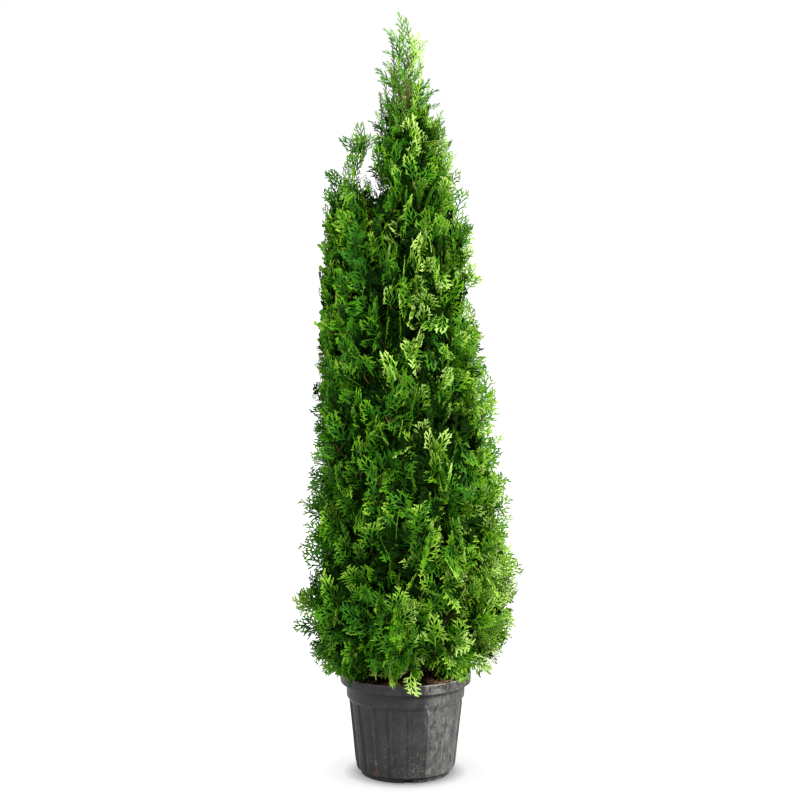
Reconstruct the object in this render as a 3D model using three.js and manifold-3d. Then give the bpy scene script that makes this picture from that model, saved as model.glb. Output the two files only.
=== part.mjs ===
// A columnar conifer in a ribbed nursery pot, in millimetres, +Z up, its front towards -Y.
// The origin is the centre of the pot's flat underside.
// The trunk runs whole from the soil to the foot of the leader, and a side stem leaves it on the left (-X).
// Boughs carry masses of flat sprays. Each mass keeps to its own space: a sector between two rising cones.

import * as THREE from "three";
import { mergeVertices } from "three/addons/utils/BufferGeometryUtils.js";
import Module from "manifold-3d";

const wasm = await Module();
wasm.setup();

// ---- Driving dimensions ----

const CLEARANCE = 0.3; // between solids that meet

const POT_HEIGHT = 253;
const POT_WALL = 3;
const POT_FLOOR = 5;
const RIM_RADIUS = 160;
const RIM_HEIGHT = 24;
const BAND_RADIUS = 144;
const BAND_HEIGHT = 34;
const BAND_TAPER = 10;
const BODY_TOP_RADIUS = 137;
const BODY_FOOT_RADIUS = 118.5;
const FOOT_HEIGHT = 12;
const FOOT_RADIUS = 108.5;
const RIB_COUNT = 18;
const RIB_LIFT = 2.4;
const RIB_HALF_ANGLE = 1.6;
const RIB_PHASE = 273.6; // one rib stands just right of the front
const DRAIN_COUNT = 4;
const DRAIN_WIDTH = 29;
const DRAIN_HEIGHT = 9;
const DRAIN_DEPTH = 14;
const SLIT_ANGLES = [291.5, 307, 111.5, 127]; // the lifting slits in the rim, in two facing pairs
const SLIT_WIDTH = 3;

const SOIL_TOP = 236;
const SOIL_EDGE_DROP = 6;

const PLANT_TOP = 1845;
const TRUNK_TOP = 1690;
const TRUNK_FOOT_RADIUS = 13;
const TRUNK_TIP_RADIUS = 1.8;
const ROOT_FLARE = 7;
const FLARE_REACH = 26;
const TRUNK_CUT = 4; // taken off below the flat cut
const TRUNK_SWAY = 7;
const SWAY_PERIOD = 900;
const SWAY_CREST = 1540; // the height where the trunk stands furthest right
const TRUNK_DEPTH_SWAY = 4;
const DEPTH_SWAY_PERIOD = 700;

const SIDE_FOOT = 760; // height where the side stem leaves the trunk
const SIDE_TOP = 1440;
const SIDE_REACH = 126; // how far left the side stem stands
const SIDE_FORWARD = 14;
const SIDE_SPREAD = 120; // the height over which it swings out
const SIDE_TIP_RETURN = 22; // its tip leans back to the trunk
const SIDE_FOOT_RADIUS = 6.5;
const SIDE_TIP_RADIUS = 1.8;
const SIDE_CROWN_FOOT = 985;
const SIDE_CROWN_TOP = 1606;

const BOUGH_FOOT_RADIUS = 6.5;
const BOUGH_TIP_RADIUS = 3.6;
const BOUGH_RISE = 0.8; // how far a bough climbs for each step outwards
const BOUGH_STAGGER = 15; // neighbouring boughs leave the trunk at different heights
const LOWEST_BOUGH = 270;

const CORE_SPAN = 0.47; // of the space, to each side of its middle
const CORE_SQUARENESS = 0.6; // 1 is round
const SPINDLE_SHARE = 0.45; // of the outline's radius
const SPINDLE_FOOT = 0.15; // how far up its swelling a spindle starts
const SPRAY_REACH = 52; // how far sprays stand out of a core
const SPRAY_RISE = 46; // how much higher a spray's tip is than its root
const SPRAY_ROLL = 1.9; // radians, the widest spread of how sprays turn about their own line
const TWIG_RADIUS = 1.9;
const FINEST_DETAIL = 0.4; // what is smaller is smoothed away where sprays cross
const SPRAY_TRIES = [
  [1, 0],
  [1, 1.1],
  [0.86, 0],
  [0.86, 1.1],
  [0.72, 0.5],
]; // shares of its length and turns about its line, tried in order until a spray fits
const CREST_LENGTH = 78; // the topmost spray of a tip
const SPACE_MARGIN = 1.4; // between a mass and the edge of its space

// Heights and radii of the crown's outline, from its foot to the leader's tip.
const CROWN_HEIGHTS = [250, 278, 326, 423, 560, 700, 905, 1146, 1387, 1507, 1628, 1724, 1797, PLANT_TOP];
const CROWN_RADII = [185, 228, 264, 287, 276, 259, 222, 182, 142, 114, 80, 54, 40, 6];
const SIDE_HEIGHTS = [960, 1060, 1180, 1290, 1400, 1480, 1540, SIDE_CROWN_TOP];
const SIDE_RADII = [38, 58, 68, 65, 52, 40, 24, 3];

// Each edge between two levels is a cone: its height at the crown's outline, and how steeply it rises.
const SKIRT_EDGE = { height: 500, rise: 0.45 };
const LOW_EDGE = { height: 740, rise: 0.7 };
const MIDDLE_EDGE = { height: 980, rise: 0.85 };
const SHOULDER_EDGE = { height: 1200, rise: 0.9 };
const UPPER_EDGE = { height: 1420, rise: 1.0 };
const NECK_EDGE = { height: 1590, rise: 1.1 };
const CROWN_EDGE = { height: 1712, rise: 0.9 };
const SKIRT_FLOOR = 262; // the lowest sprays stay above the rim

const SIDE_TIP_EDGE = { height: 1455, rise: 0.8 };
const CROWN_HALVES_START = 60; // degrees

const STEM_SHARE = 0.3; // how far a mass's stem runs into it, of the crown's radius
const ROOT_DEPTH = 0.8; // where sprays start, of the core's outer edge
const HALF_CORE = { inner: 0.16, outer: 0.66 }; // of the outline's radius, for a core beside its stem
const HALF_STEM_RISE = 34;

const GAP_FOR_SIDE_STEM = 60; // degrees on the left that the shoulder and upper levels leave free

// ---- Small tools ----

const TURN = 2 * Math.PI;
const GOLDEN = 0.618034; // spreads repeated pieces evenly
const radians = THREE.MathUtils.degToRad;
const mix = THREE.MathUtils.lerp;

// A repeatable stream of numbers from 0 to 1.
function seededRandom(seed) {
  let state = seed >>> 0;
  return () => {
    state = (state + 0x6d2b79f5) >>> 0;
    let word = Math.imul(state ^ (state >>> 15), state | 1);
    word ^= word + Math.imul(word ^ (word >>> 7), word | 61);
    return ((word ^ (word >>> 14)) >>> 0) / 4294967296;
  };
}

// The value at a height, smoothed between the named heights and values of an outline.
function outlineAt(heights, values, height) {
  const last = heights.length - 1;
  if (height <= heights[0]) return values[0];
  if (height >= heights[last]) return values[last];
  const next = heights.findIndex((h) => h > height);
  const share = (height - heights[next - 1]) / (heights[next] - heights[next - 1]);
  const before = values[Math.max(next - 2, 0)];
  const after = values[Math.min(next + 1, last)];
  const [from, to] = [values[next - 1], values[next]];
  const bend = (2 * before - 5 * from + 4 * to - after) * share ** 2;
  const turn = (-before + 3 * from - 3 * to + after) * share ** 3;
  return (2 * from + (to - before) * share + bend + turn) / 2;
}

function solidOf(geometry) {
  const bare = geometry.index ? geometry.toNonIndexed() : geometry.clone();
  bare.deleteAttribute("normal");
  bare.deleteAttribute("uv");
  const merged = mergeVertices(bare, 1e-3);
  return new wasm.Manifold(
    new wasm.Mesh({
      numProp: 3,
      vertProperties: merged.attributes.position.array,
      triVerts: new Uint32Array(merged.index.array),
    }),
  );
}

function geometryOf(solid) {
  const mesh = solid.getMesh();
  const geometry = new THREE.BufferGeometry();
  geometry.setAttribute("position", new THREE.BufferAttribute(mesh.vertProperties, 3));
  geometry.setIndex(new THREE.BufferAttribute(mesh.triVerts, 1));
  geometry.computeVertexNormals();
  return geometry;
}

// The largest body of a solid: loose scraps and sealed hollows are dropped.
function largestBody(solid) {
  return solid.decompose().reduce((a, b) => (b.volume() > a.volume() ? b : a));
}

// A closed limb of round section along a line: lineAt gives its middle and radiusAt its radius, from 0 to 1.
function limb(lineAt, radiusAt, sides, rings) {
  const geometry = new THREE.CylinderGeometry(1, 1, 1, sides, rings);
  const position = geometry.getAttribute("position");
  const step = 0.001;
  for (let i = 0; i < position.count; i++) {
    const share = position.getY(i) + 0.5;
    const tangent = lineAt(Math.min(share + step, 1)).sub(lineAt(Math.max(share - step, 0))).normalize();
    const reference = Math.abs(tangent.z) > 0.8 ? new THREE.Vector3(1, 0, 0) : new THREE.Vector3(0, 0, 1);
    const across = reference.addScaledVector(tangent, -reference.dot(tangent)).normalize();
    const up = new THREE.Vector3().crossVectors(across, tangent);
    const point = lineAt(share)
      .addScaledVector(across, position.getX(i) * radiusAt(share))
      .addScaledVector(up, position.getZ(i) * radiusAt(share));
    position.setXYZ(i, point.x, point.y, point.z);
  }
  return geometry;
}

function straight(from, to) {
  return (share) => from.clone().lerp(to, share);
}

function taper(from, to) {
  return (share) => mix(from, to, share);
}

// ---- Materials ----

const material = (color, roughness) => new THREE.MeshStandardMaterial({ color, roughness, metalness: 0 });
const potPlastic = material(0x3a3a3b, 0.6);
const soilBrown = material(0x3d2a1c, 0.95);
const bark = material(0x7a4a2c, 0.9);
const foliage = material(0x3f7d24, 0.65);

const plant = new THREE.Group();

function addNode(name, geometry, finish) {
  const mesh = new THREE.Mesh(geometry, finish);
  mesh.name = name;
  plant.add(mesh);
}

// ---- Pot and soil ----

// Inside, where the body's wall turns in to the foot ring.
const LEDGE_HEIGHT = FOOT_HEIGHT + 3 + POT_WALL;

// The pot's section, from the middle of its underside up the outside and down the inside.
function potSection() {
  const rimFoot = POT_HEIGHT - RIM_HEIGHT;
  const bandFoot = rimFoot - BAND_HEIGHT;
  return [
    [0, 0],
    [FOOT_RADIUS, 0],
    [FOOT_RADIUS, FOOT_HEIGHT],
    [BODY_FOOT_RADIUS, FOOT_HEIGHT + 3],
    [BODY_TOP_RADIUS, bandFoot - BAND_TAPER],
    [BAND_RADIUS, bandFoot],
    [BAND_RADIUS, rimFoot],
    [RIM_RADIUS, rimFoot + 1],
    [RIM_RADIUS, POT_HEIGHT - 1],
    [RIM_RADIUS - 5, POT_HEIGHT],
    [BAND_RADIUS - POT_WALL, rimFoot - 4],
    [BAND_RADIUS - POT_WALL, bandFoot - 1],
    [BODY_TOP_RADIUS - POT_WALL, bandFoot - BAND_TAPER - 2],
    [BODY_FOOT_RADIUS - POT_WALL, LEDGE_HEIGHT],
    [FOOT_RADIUS - POT_WALL, POT_FLOOR],
    [0, POT_FLOOR],
  ].map(([radius, height]) => new THREE.Vector2(radius, height));
}

// A turned section with three vertices to each rib's pitch: the rib's two edges and its crest.
function ribbedLathe(section, ribFoot, ribTop) {
  const stations = [-RIB_HALF_ANGLE, 0, RIB_HALF_ANGLE];
  const segments = RIB_COUNT * stations.length;
  const geometry = new THREE.LatheGeometry(section, segments);
  geometry.rotateX(Math.PI / 2);
  const position = geometry.getAttribute("position");
  for (let i = 0; i < position.count; i++) {
    const ring = Math.floor(i / section.length) % segments;
    const station = ring % stations.length;
    const rib = (ring - station) / stations.length;
    const angle = radians(RIB_PHASE + (rib * 360) / RIB_COUNT + stations[station]);
    const height = position.getZ(i);
    const outside = i % section.length < section.length / 2;
    const lifted = stations[station] === 0 && outside && height >= ribFoot && height <= ribTop;
    const radius = section[i % section.length].x + (lifted ? RIB_LIFT : 0);
    position.setXYZ(i, radius * Math.cos(angle), radius * Math.sin(angle), height);
  }
  return geometry;
}

function box(width, depth, height, x, y, z, angle) {
  const geometry = new THREE.BoxGeometry(width, depth, height);
  geometry.translate(x, y, z);
  geometry.rotateZ(angle);
  return solidOf(geometry);
}

function potGeometry() {
  const ribTop = POT_HEIGHT - RIM_HEIGHT - BAND_HEIGHT - BAND_TAPER;
  let pot = solidOf(ribbedLathe(potSection(), FOOT_HEIGHT + 3, ribTop));
  for (let i = 0; i < DRAIN_COUNT; i++) {
    const angle = radians(RIB_PHASE) + (i * TURN) / DRAIN_COUNT;
    pot = pot.subtract(box(DRAIN_DEPTH, DRAIN_WIDTH, 2 * DRAIN_HEIGHT, FOOT_RADIUS, 0, 0, angle));
  }
  for (const slit of SLIT_ANGLES) {
    const depth = 2 * POT_WALL;
    pot = pot.subtract(
      box(depth, SLIT_WIDTH, RIM_HEIGHT, RIM_RADIUS, 0, POT_HEIGHT - RIM_HEIGHT / 2 - 2, radians(slit)),
    );
  }
  return geometryOf(pot);
}

// The filling: its corners stand behind the ribs, where the pot's inside has its own.
function soilGeometry() {
  const wallGap = 2 * CLEARANCE;
  const bandFoot = POT_HEIGHT - RIM_HEIGHT - BAND_HEIGHT;
  const neck = bandFoot - BAND_TAPER - 2;
  const section = [
    [0, POT_FLOOR + CLEARANCE],
    [FOOT_RADIUS - POT_WALL - 2 * wallGap, POT_FLOOR + CLEARANCE],
    [BODY_FOOT_RADIUS - POT_WALL - wallGap, LEDGE_HEIGHT + CLEARANCE],
    [BODY_TOP_RADIUS - POT_WALL - wallGap, neck],
    [BAND_RADIUS - POT_WALL - wallGap, bandFoot],
    [BAND_RADIUS - POT_WALL - wallGap, POT_HEIGHT - RIM_HEIGHT - 4],
    [BAND_RADIUS - POT_WALL - wallGap - 3, SOIL_TOP - SOIL_EDGE_DROP],
    [BAND_RADIUS * 0.5, SOIL_TOP],
    [0, SOIL_TOP],
  ].map(([radius, height]) => new THREE.Vector2(radius, height));
  const geometry = new THREE.LatheGeometry(section, RIB_COUNT).rotateX(Math.PI / 2);
  return geometry.rotateZ(radians(RIB_PHASE - 270));
}

// ---- Trunk and side stem ----

const TRUNK_FOOT = SOIL_TOP + CLEARANCE;

function trunkAt(height) {
  const x = TRUNK_SWAY * Math.cos((TURN * (height - SWAY_CREST)) / SWAY_PERIOD);
  const y = TRUNK_DEPTH_SWAY * Math.sin((TURN * (height - TRUNK_FOOT)) / DEPTH_SWAY_PERIOD);
  return new THREE.Vector3(x, y, height);
}

function trunkRadius(height) {
  const share = THREE.MathUtils.clamp((height - TRUNK_FOOT) / (TRUNK_TOP - TRUNK_FOOT), 0, 1);
  const flare = ROOT_FLARE * Math.exp(-(height - TRUNK_FOOT) / FLARE_REACH);
  return mix(TRUNK_FOOT_RADIUS, TRUNK_TIP_RADIUS, share ** 0.85) + flare;
}

// The rings close up towards the foot, where the root flare is, and the foot is cut flat.
function trunkSolid(grow = 0) {
  const heightAt = (share) => mix(TRUNK_FOOT - TRUNK_CUT, TRUNK_TOP, share ** 1.6);
  const shape = limb(
    (share) => trunkAt(heightAt(share)),
    (share) => trunkRadius(heightAt(share)) + grow,
    9,
    16,
  );
  return solidOf(shape).trimByPlane([0, 0, 1], TRUNK_FOOT);
}

// The side stem swings out on a smooth curve, then runs up beside the trunk.
function sideStemAt(height) {
  const rise = Math.max(height - SIDE_FOOT, 0);
  const swing = 1 - Math.exp(-rise / SIDE_SPREAD);
  const back = Math.max(height - SIDE_TOP + 2 * SIDE_SPREAD, 0) / (2 * SIDE_SPREAD);
  const start = trunkAt(SIDE_FOOT);
  const left = mix(start.x, -SIDE_REACH, swing) + SIDE_TIP_RETURN * 0.5 * back ** 2;
  return new THREE.Vector3(left, mix(start.y, -SIDE_FORWARD, swing), height);
}

function sideStemRadius(height) {
  return mix(SIDE_FOOT_RADIUS, SIDE_TIP_RADIUS, (height - SIDE_FOOT) / (SIDE_TOP - SIDE_FOOT));
}

const trunkGrown = trunkSolid(CLEARANCE * 1.3);

function sideStemShape(foot, grow = 0) {
  const heightAt = (share) => mix(foot, SIDE_TOP, share);
  return limb(
    (share) => sideStemAt(heightAt(share)),
    (share) => sideStemRadius(heightAt(share)) + grow,
    7,
    12,
  );
}

const sideStemGrown = solidOf(sideStemShape(SIDE_FOOT + 2 * SIDE_FOOT_RADIUS, CLEARANCE * 1.3));

// ---- Spaces of the foliage ----

const crownRadius = (height) => outlineAt(CROWN_HEIGHTS, CROWN_RADII, height);
const sideRadius = (height) => outlineAt(SIDE_HEIGHTS, SIDE_RADII, height);

// The height of a level's edge at a distance from the axis.
function coneHeight(edge, radiusOf, distance) {
  return edge.height - edge.rise * (radiusOf(edge.height) - distance);
}

// A space round an axis: sector angles in degrees, lower and upper edges, and what else it keeps clear of.
function makeSpace(options) {
  const { axisAt, radiusOf, start, sweep, lower, upper, ceiling } = options;
  const { floor = 0, keepClear = () => true } = options;
  const low = (distance) => Math.max(lower ? coneHeight(lower, radiusOf, distance) : floor, floor);
  const high = (distance) => (upper ? coneHeight(upper, radiusOf, distance) : ceiling);
  return { axisAt, radiusOf, start: radians(start), sweep: radians(sweep), low, high, keepClear };
}

// A point of a space: its shares across the sector, up the level, and out to the crown's outline.
function pointIn(space, across, up, out) {
  const angle = space.start + across * space.sweep;
  let height = (space.low(0) + space.high(0)) / 2;
  let distance = 0;
  for (let round = 0; round < 12; round++) {
    distance = out * space.radiusOf(height);
    height = mix(height, mix(space.low(distance), space.high(distance), up), 0.6);
  }
  const middle = space.axisAt(height);
  return new THREE.Vector3(
    middle.x + distance * Math.cos(angle),
    middle.y + distance * Math.sin(angle),
    height,
  );
}

function liesIn(space, point) {
  const middle = space.axisAt(point.z);
  const [dx, dy] = [point.x - middle.x, point.y - middle.y];
  const distance = Math.hypot(dx, dy);
  if (distance > space.radiusOf(point.z) + 1) return false;
  if (point.z < space.low(distance) + SPACE_MARGIN) return false;
  if (point.z > space.high(distance) - SPACE_MARGIN) return false;
  if (space.sweep < TURN - 0.01) {
    const turned = (((Math.atan2(dy, dx) - space.start) % TURN) + TURN) % TURN;
    if (turned > space.sweep) return false;
    const toEdge = Math.min(turned, space.sweep - turned);
    if (toEdge < Math.PI / 2 && distance * Math.sin(toEdge) < SPACE_MARGIN) return false;
  }
  return space.keepClear(point);
}

// ---- Masses of foliage ----

// One spray is a toothed blade, sharp all round and thickest at its middle. The rows run up one side of its
// outline: how far along the spray, and how far sideways, as shares of its length.
const SPRAY_OUTLINE = [
  [0, 0.05],
  [0.42, 0.31],
  [0.45, 0.12],
  [0.7, 0.34],
  [0.7, 0.09],
  [0.9, 0.2],
];
const SPRAY_MIDDLE = 0.46;
const SPRAY_THICKNESS = 0.07; // of a spray's length

// A spray's vertices: one side from the root, the tip, the other side back, and the two middles.
function sprayPoints(root, along, across, length) {
  const face = new THREE.Vector3().crossVectors(along, across);
  const place = (share, side, lift) =>
    root
      .clone()
      .addScaledVector(along, share * length)
      .addScaledVector(across, side * length)
      .addScaledVector(face, lift * length);
  const left = SPRAY_OUTLINE.map(([share, side]) => place(share, side, 0));
  const right = SPRAY_OUTLINE.map(([share, side]) => place(share, -side, 0)).reverse();
  const lift = SPRAY_THICKNESS / 2;
  return [...left, place(1, 0, 0), ...right, place(SPRAY_MIDDLE, 0, lift), place(SPRAY_MIDDLE, 0, -lift)];
}

function spraySolid(points) {
  const round = points.length - 2;
  const faces = [];
  for (let i = 0; i < round; i++) {
    const next = (i + 1) % round;
    faces.push(next, i, round, i, next, round + 1);
  }
  return new wasm.Manifold(
    new wasm.Mesh({
      numProp: 3,
      vertProperties: new Float32Array(points.flatMap((p) => p.toArray())),
      triVerts: new Uint32Array(faces),
    }),
  );
}

// The dense inside of a mass: a ball stretched and squared off to fill most of its sector.
function sectorCore(space, inner, outer) {
  const geometry = new THREE.SphereGeometry(1, 8, 4);
  const position = geometry.getAttribute("position");
  const squared = (value) => Math.sign(value) * Math.abs(value) ** CORE_SQUARENESS;
  for (let i = 0; i < position.count; i++) {
    const across = 0.5 + CORE_SPAN * squared(position.getX(i));
    const up = 0.5 + CORE_SPAN * squared(position.getY(i));
    const out = mix(inner, outer, 0.5 + 0.5 * squared(position.getZ(i)));
    const point = pointIn(space, across, up, out);
    position.setXYZ(i, point.x, point.y, point.z);
  }
  return solidOf(geometry);
}

// The dense inside of a tip that stands all round its stem: a spindle.
function spindleCore(space, foot, top) {
  const heightAt = (share) => mix(foot, top, share);
  const swelling = (share) => Math.sin(Math.PI * mix(SPINDLE_FOOT, 1, share));
  const shape = limb(
    (share) => space.axisAt(heightAt(share)),
    (share) => TWIG_RADIUS + SPINDLE_SHARE * space.radiusOf(heightAt(share)) * swelling(share),
    5,
    3,
  );
  return solidOf(shape);
}

// The direction across a spray: upright, as the real sprays hang, then rolled about the spray's own line.
function acrossSpray(along, roll) {
  const outward = new THREE.Vector3(along.x, along.y, 0).normalize();
  const flat = new THREE.Vector3(0, 0, 1).addScaledVector(outward, -0.2).applyAxisAngle(along, roll);
  return flat.addScaledVector(along, -flat.dot(along)).normalize();
}

// Grows one mass: its stem and its core, and sprays that leave the core's inside by a seeded rule. A spray
// that would leave the mass's space is turned or made shorter, then skipped. rootAt says where a spray starts.
function growMass({ space, seed, sprays, stem, core, rootAt, crest, keepOff = [] }) {
  const random = seededRandom(seed);
  let heart = core;
  keepOff.forEach((other) => (heart = heart.subtract(other)));
  const solids = [stem, largestBody(heart)];
  if (crest) {
    const along = crest.tip.clone().sub(crest.root);
    const length = along.length();
    along.normalize();
    solids.push(spraySolid(sprayPoints(crest.root, along, acrossSpray(along, 0), length)));
  }
  for (let i = 0; i < sprays; i++) {
    const across = 0.1 + 0.8 * ((0.2 * random() + i * GOLDEN + seed * 0.37) % 1);
    const up = 0.16 + (0.8 * (i + 0.2 + 0.6 * random())) / sprays;
    const tip = pointIn(space, across, up, 0.96 + 0.04 * random());
    const middle = space.radiusOf(tip.z) / 2;
    const rise = Math.min(SPRAY_RISE / (space.high(middle) - space.low(middle)), 0.3);
    const root = rootAt(across, Math.max(up - rise, 0.1));
    const along = tip.clone().sub(root).normalize();
    const reach = tip.distanceTo(root);
    const roll = (random() - 0.5) * SPRAY_ROLL;
    const fitting = SPRAY_TRIES.map(([share, turn]) =>
      sprayPoints(root, along, acrossSpray(along, roll + turn), reach * share),
    ).find((points) => points.slice(1, -3).every((point) => liesIn(space, point)));
    if (fitting) solids.push(spraySolid(fitting));
  }
  let mass = wasm.Manifold.union(solids);
  keepOff.forEach((other) => (mass = mass.subtract(other)));
  return geometryOf(largestBody(largestBody(mass).simplify(FINEST_DETAIL)));
}

// ---- The crown, level by level ----

// A bough from the trunk to the foot of its mass, its root cut clear of the trunk.
function boughLine(space, inner, lift) {
  const tip = pointIn(space, 0.5, 0.45, inner);
  const out = new THREE.Vector3(tip.x, tip.y, 0).sub(trunkAt(tip.z).setZ(0)).length();
  const foot = trunkAt(Math.max(tip.z - BOUGH_RISE * out, LOWEST_BOUGH) + lift);
  const sag = (share) => new THREE.Vector3(0, 0, -0.06 * out * Math.sin(Math.PI * share));
  return { foot, tip, lineAt: (share) => foot.clone().lerp(tip, share).add(sag(share)) };
}

function addBough(name, line, scale) {
  const shape = limb(line.lineAt, taper(BOUGH_FOOT_RADIUS * scale, BOUGH_TIP_RADIUS * scale), 5, 3);
  addNode(name, geometryOf(largestBody(solidOf(shape).subtract(trunkGrown))), bark);
}

function massStem(from, to, radius) {
  return solidOf(limb(straight(from, to), taper(radius, TWIG_RADIUS), 5, 1));
}

function awayFromSideCrown(point) {
  const stem = sideStemAt(point.z);
  return Math.hypot(point.x - stem.x, point.y - stem.y) > sideRadius(point.z) + 2 * SPACE_MARGIN;
}

const SIDE_GAP_START = 180 + GAP_FOR_SIDE_STEM / 2 - 360;
const BESIDE_GAP = 360 - GAP_FOR_SIDE_STEM;

const LEVELS = [
  { name: "skirt", upper: SKIRT_EDGE, sectors: 5, start: 18, sweep: 360, sprays: 7 },
  { name: "low", lower: SKIRT_EDGE, upper: LOW_EDGE, sectors: 5, start: 68, sweep: 360, sprays: 7 },
  { name: "middle", lower: LOW_EDGE, upper: MIDDLE_EDGE, sectors: 5, start: 180, sweep: 360, sprays: 7 },
  {
    name: "shoulder",
    lower: MIDDLE_EDGE,
    upper: SHOULDER_EDGE,
    sectors: 4,
    start: SIDE_GAP_START,
    sweep: BESIDE_GAP,
    sprays: 7,
  },
  {
    name: "upper",
    lower: SHOULDER_EDGE,
    upper: UPPER_EDGE,
    sectors: 3,
    start: SIDE_GAP_START,
    sweep: BESIDE_GAP,
    sprays: 7,
    scale: 0.75,
  },
  {
    name: "neck",
    lower: UPPER_EDGE,
    upper: NECK_EDGE,
    sectors: 3,
    start: 60,
    sweep: 360,
    sprays: 6,
    scale: 0.7,
  },
];

LEVELS.forEach((level, levelIndex) => {
  const sweep = level.sweep / level.sectors;
  const scale = level.scale ?? 1;
  for (let sector = 0; sector < level.sectors; sector++) {
    const space = makeSpace({
      axisAt: trunkAt,
      radiusOf: crownRadius,
      start: level.start + sector * sweep,
      sweep,
      lower: level.lower,
      upper: level.upper,
      floor: SKIRT_FLOOR,
      keepClear: awayFromSideCrown,
    });
    const middle = pointIn(space, 0.5, 0.5, 0.8);
    const outer = Math.max(0.6, 1 - SPRAY_REACH / crownRadius(middle.z));
    const inner = 0.28;
    const label = level.name + "_" + (sector + 1);
    const line = boughLine(space, inner - 0.02, BOUGH_STAGGER * (sector % 3));
    const heading = line.lineAt(1).sub(line.lineAt(0.98)).normalize();
    const stemFrom = line.tip.clone().addScaledVector(heading, CLEARANCE);
    addBough("bough_" + label, line, scale);
    const stemTo = stemFrom.clone().addScaledVector(heading, STEM_SHARE * crownRadius(middle.z));
    const geometry = growMass({
      space,
      seed: 100 * (levelIndex + 1) + sector,
      sprays: level.sprays,
      stem: massStem(stemFrom, stemTo, BOUGH_TIP_RADIUS * scale),
      core: sectorCore(space, inner, outer),
      rootAt: (across, up) => pointIn(space, mix(across, 0.5, 0.2), up, ROOT_DEPTH * outer),
      keepOff: [sideStemGrown],
    });
    addNode("foliage_" + label, geometry, foliage);
  }
});

// A mass that grows from a stem which runs up its side: one half of the foliage round that stem.
function halfMass({ seed, sprays, stemSolid, stemRadius, ...bounds }) {
  const { axisAt } = bounds;
  const space = makeSpace({ sweep: 180, ...bounds });
  const stemTo = pointIn(space, 0.5, 0.5, HALF_CORE.outer * 0.7);
  const axis = axisAt(stemTo.z - HALF_STEM_RISE);
  const outward = stemTo.clone().sub(axis).setZ(0).normalize();
  const stemFrom = axis.addScaledVector(outward, stemRadius(stemTo.z - HALF_STEM_RISE));
  return growMass({
    space,
    seed,
    sprays,
    stem: massStem(stemFrom, stemTo, TWIG_RADIUS),
    core: sectorCore(space, HALF_CORE.inner, HALF_CORE.outer),
    rootAt: (across, up) => pointIn(space, mix(across, 0.5, 0.1), up, ROOT_DEPTH * HALF_CORE.outer),
    keepOff: [stemSolid],
  });
}

// A mass that stands all round the end of a stem, up to its topmost spray.
function tipMass({ seed, sprays, foot, ...bounds }) {
  const { axisAt, ceiling } = bounds;
  const space = makeSpace({ start: 0, sweep: 360, ...bounds });
  return growMass({
    space,
    seed,
    sprays,
    stem: massStem(axisAt(foot), axisAt(ceiling - CREST_LENGTH / 2), TWIG_RADIUS),
    core: spindleCore(space, foot, ceiling - CREST_LENGTH / 2),
    rootAt: (across, up) => axisAt(Math.max(pointIn(space, across, up, 0.3).z, foot + SPRAY_RISE / 4)),
    crest: { root: axisAt(ceiling - CREST_LENGTH), tip: axisAt(ceiling) },
  });
}

// The crown round the top of the trunk: its two halves and the leader grow from the trunk itself.
[CROWN_HALVES_START, CROWN_HALVES_START + 180].forEach((start, index) => {
  const geometry = halfMass({
    axisAt: trunkAt,
    radiusOf: crownRadius,
    start,
    lower: NECK_EDGE,
    upper: CROWN_EDGE,
    seed: 700 + index,
    sprays: 6,
    stemSolid: trunkGrown,
    stemRadius: trunkRadius,
  });
  addNode("foliage_crown_" + (index + 1), geometry, foliage);
});

const leaderGeometry = tipMass({
  axisAt: trunkAt,
  radiusOf: (height) => crownRadius(height) + 6,
  lower: CROWN_EDGE,
  ceiling: PLANT_TOP,
  seed: 800,
  sprays: 7,
  foot: TRUNK_TOP + CLEARANCE,
});
addNode("foliage_leader", leaderGeometry, foliage);

// The side crown: an outer and an inner half round the side stem, and its tip, all clear of the main crown.
function besideTrunk(point) {
  const trunk = trunkAt(point.z);
  const [dx, dy] = [point.x - trunk.x, point.y - trunk.y];
  const distance = Math.hypot(dx, dy);
  if (point.z > coneHeight(UPPER_EDGE, crownRadius, distance) + SPACE_MARGIN) {
    return distance > 0.5 * crownRadius(point.z);
  }
  const inside = radians(GAP_FOR_SIDE_STEM / 2) - Math.abs(Math.abs(Math.atan2(dy, dx)) - Math.PI);
  return inside > 0 && distance * Math.sin(inside) > SPACE_MARGIN;
}

["outer", "inner"].forEach((name, index) => {
  const geometry = halfMass({
    axisAt: sideStemAt,
    radiusOf: sideRadius,
    start: 90 + 180 * index,
    upper: SIDE_TIP_EDGE,
    floor: SIDE_CROWN_FOOT,
    keepClear: besideTrunk,
    seed: 900 + index,
    sprays: 9,
    stemSolid: sideStemGrown,
    stemRadius: sideStemRadius,
  });
  addNode("foliage_side_" + name, geometry, foliage);
});

const sideTipGeometry = tipMass({
  axisAt: sideStemAt,
  radiusOf: (height) => sideRadius(height) + 4,
  lower: SIDE_TIP_EDGE,
  ceiling: SIDE_CROWN_TOP,
  keepClear: besideTrunk,
  seed: 950,
  sprays: 6,
  foot: SIDE_TOP + CLEARANCE,
});
addNode("foliage_side_tip", sideTipGeometry, foliage);

addNode("pot", potGeometry(), potPlastic);
addNode("soil", soilGeometry(), soilBrown);
addNode("trunk", geometryOf(trunkSolid()), bark);
const sideStem = solidOf(sideStemShape(SIDE_FOOT)).subtract(trunkGrown);
addNode("side_stem", geometryOf(largestBody(sideStem)), bark);

export default plant;
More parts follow.
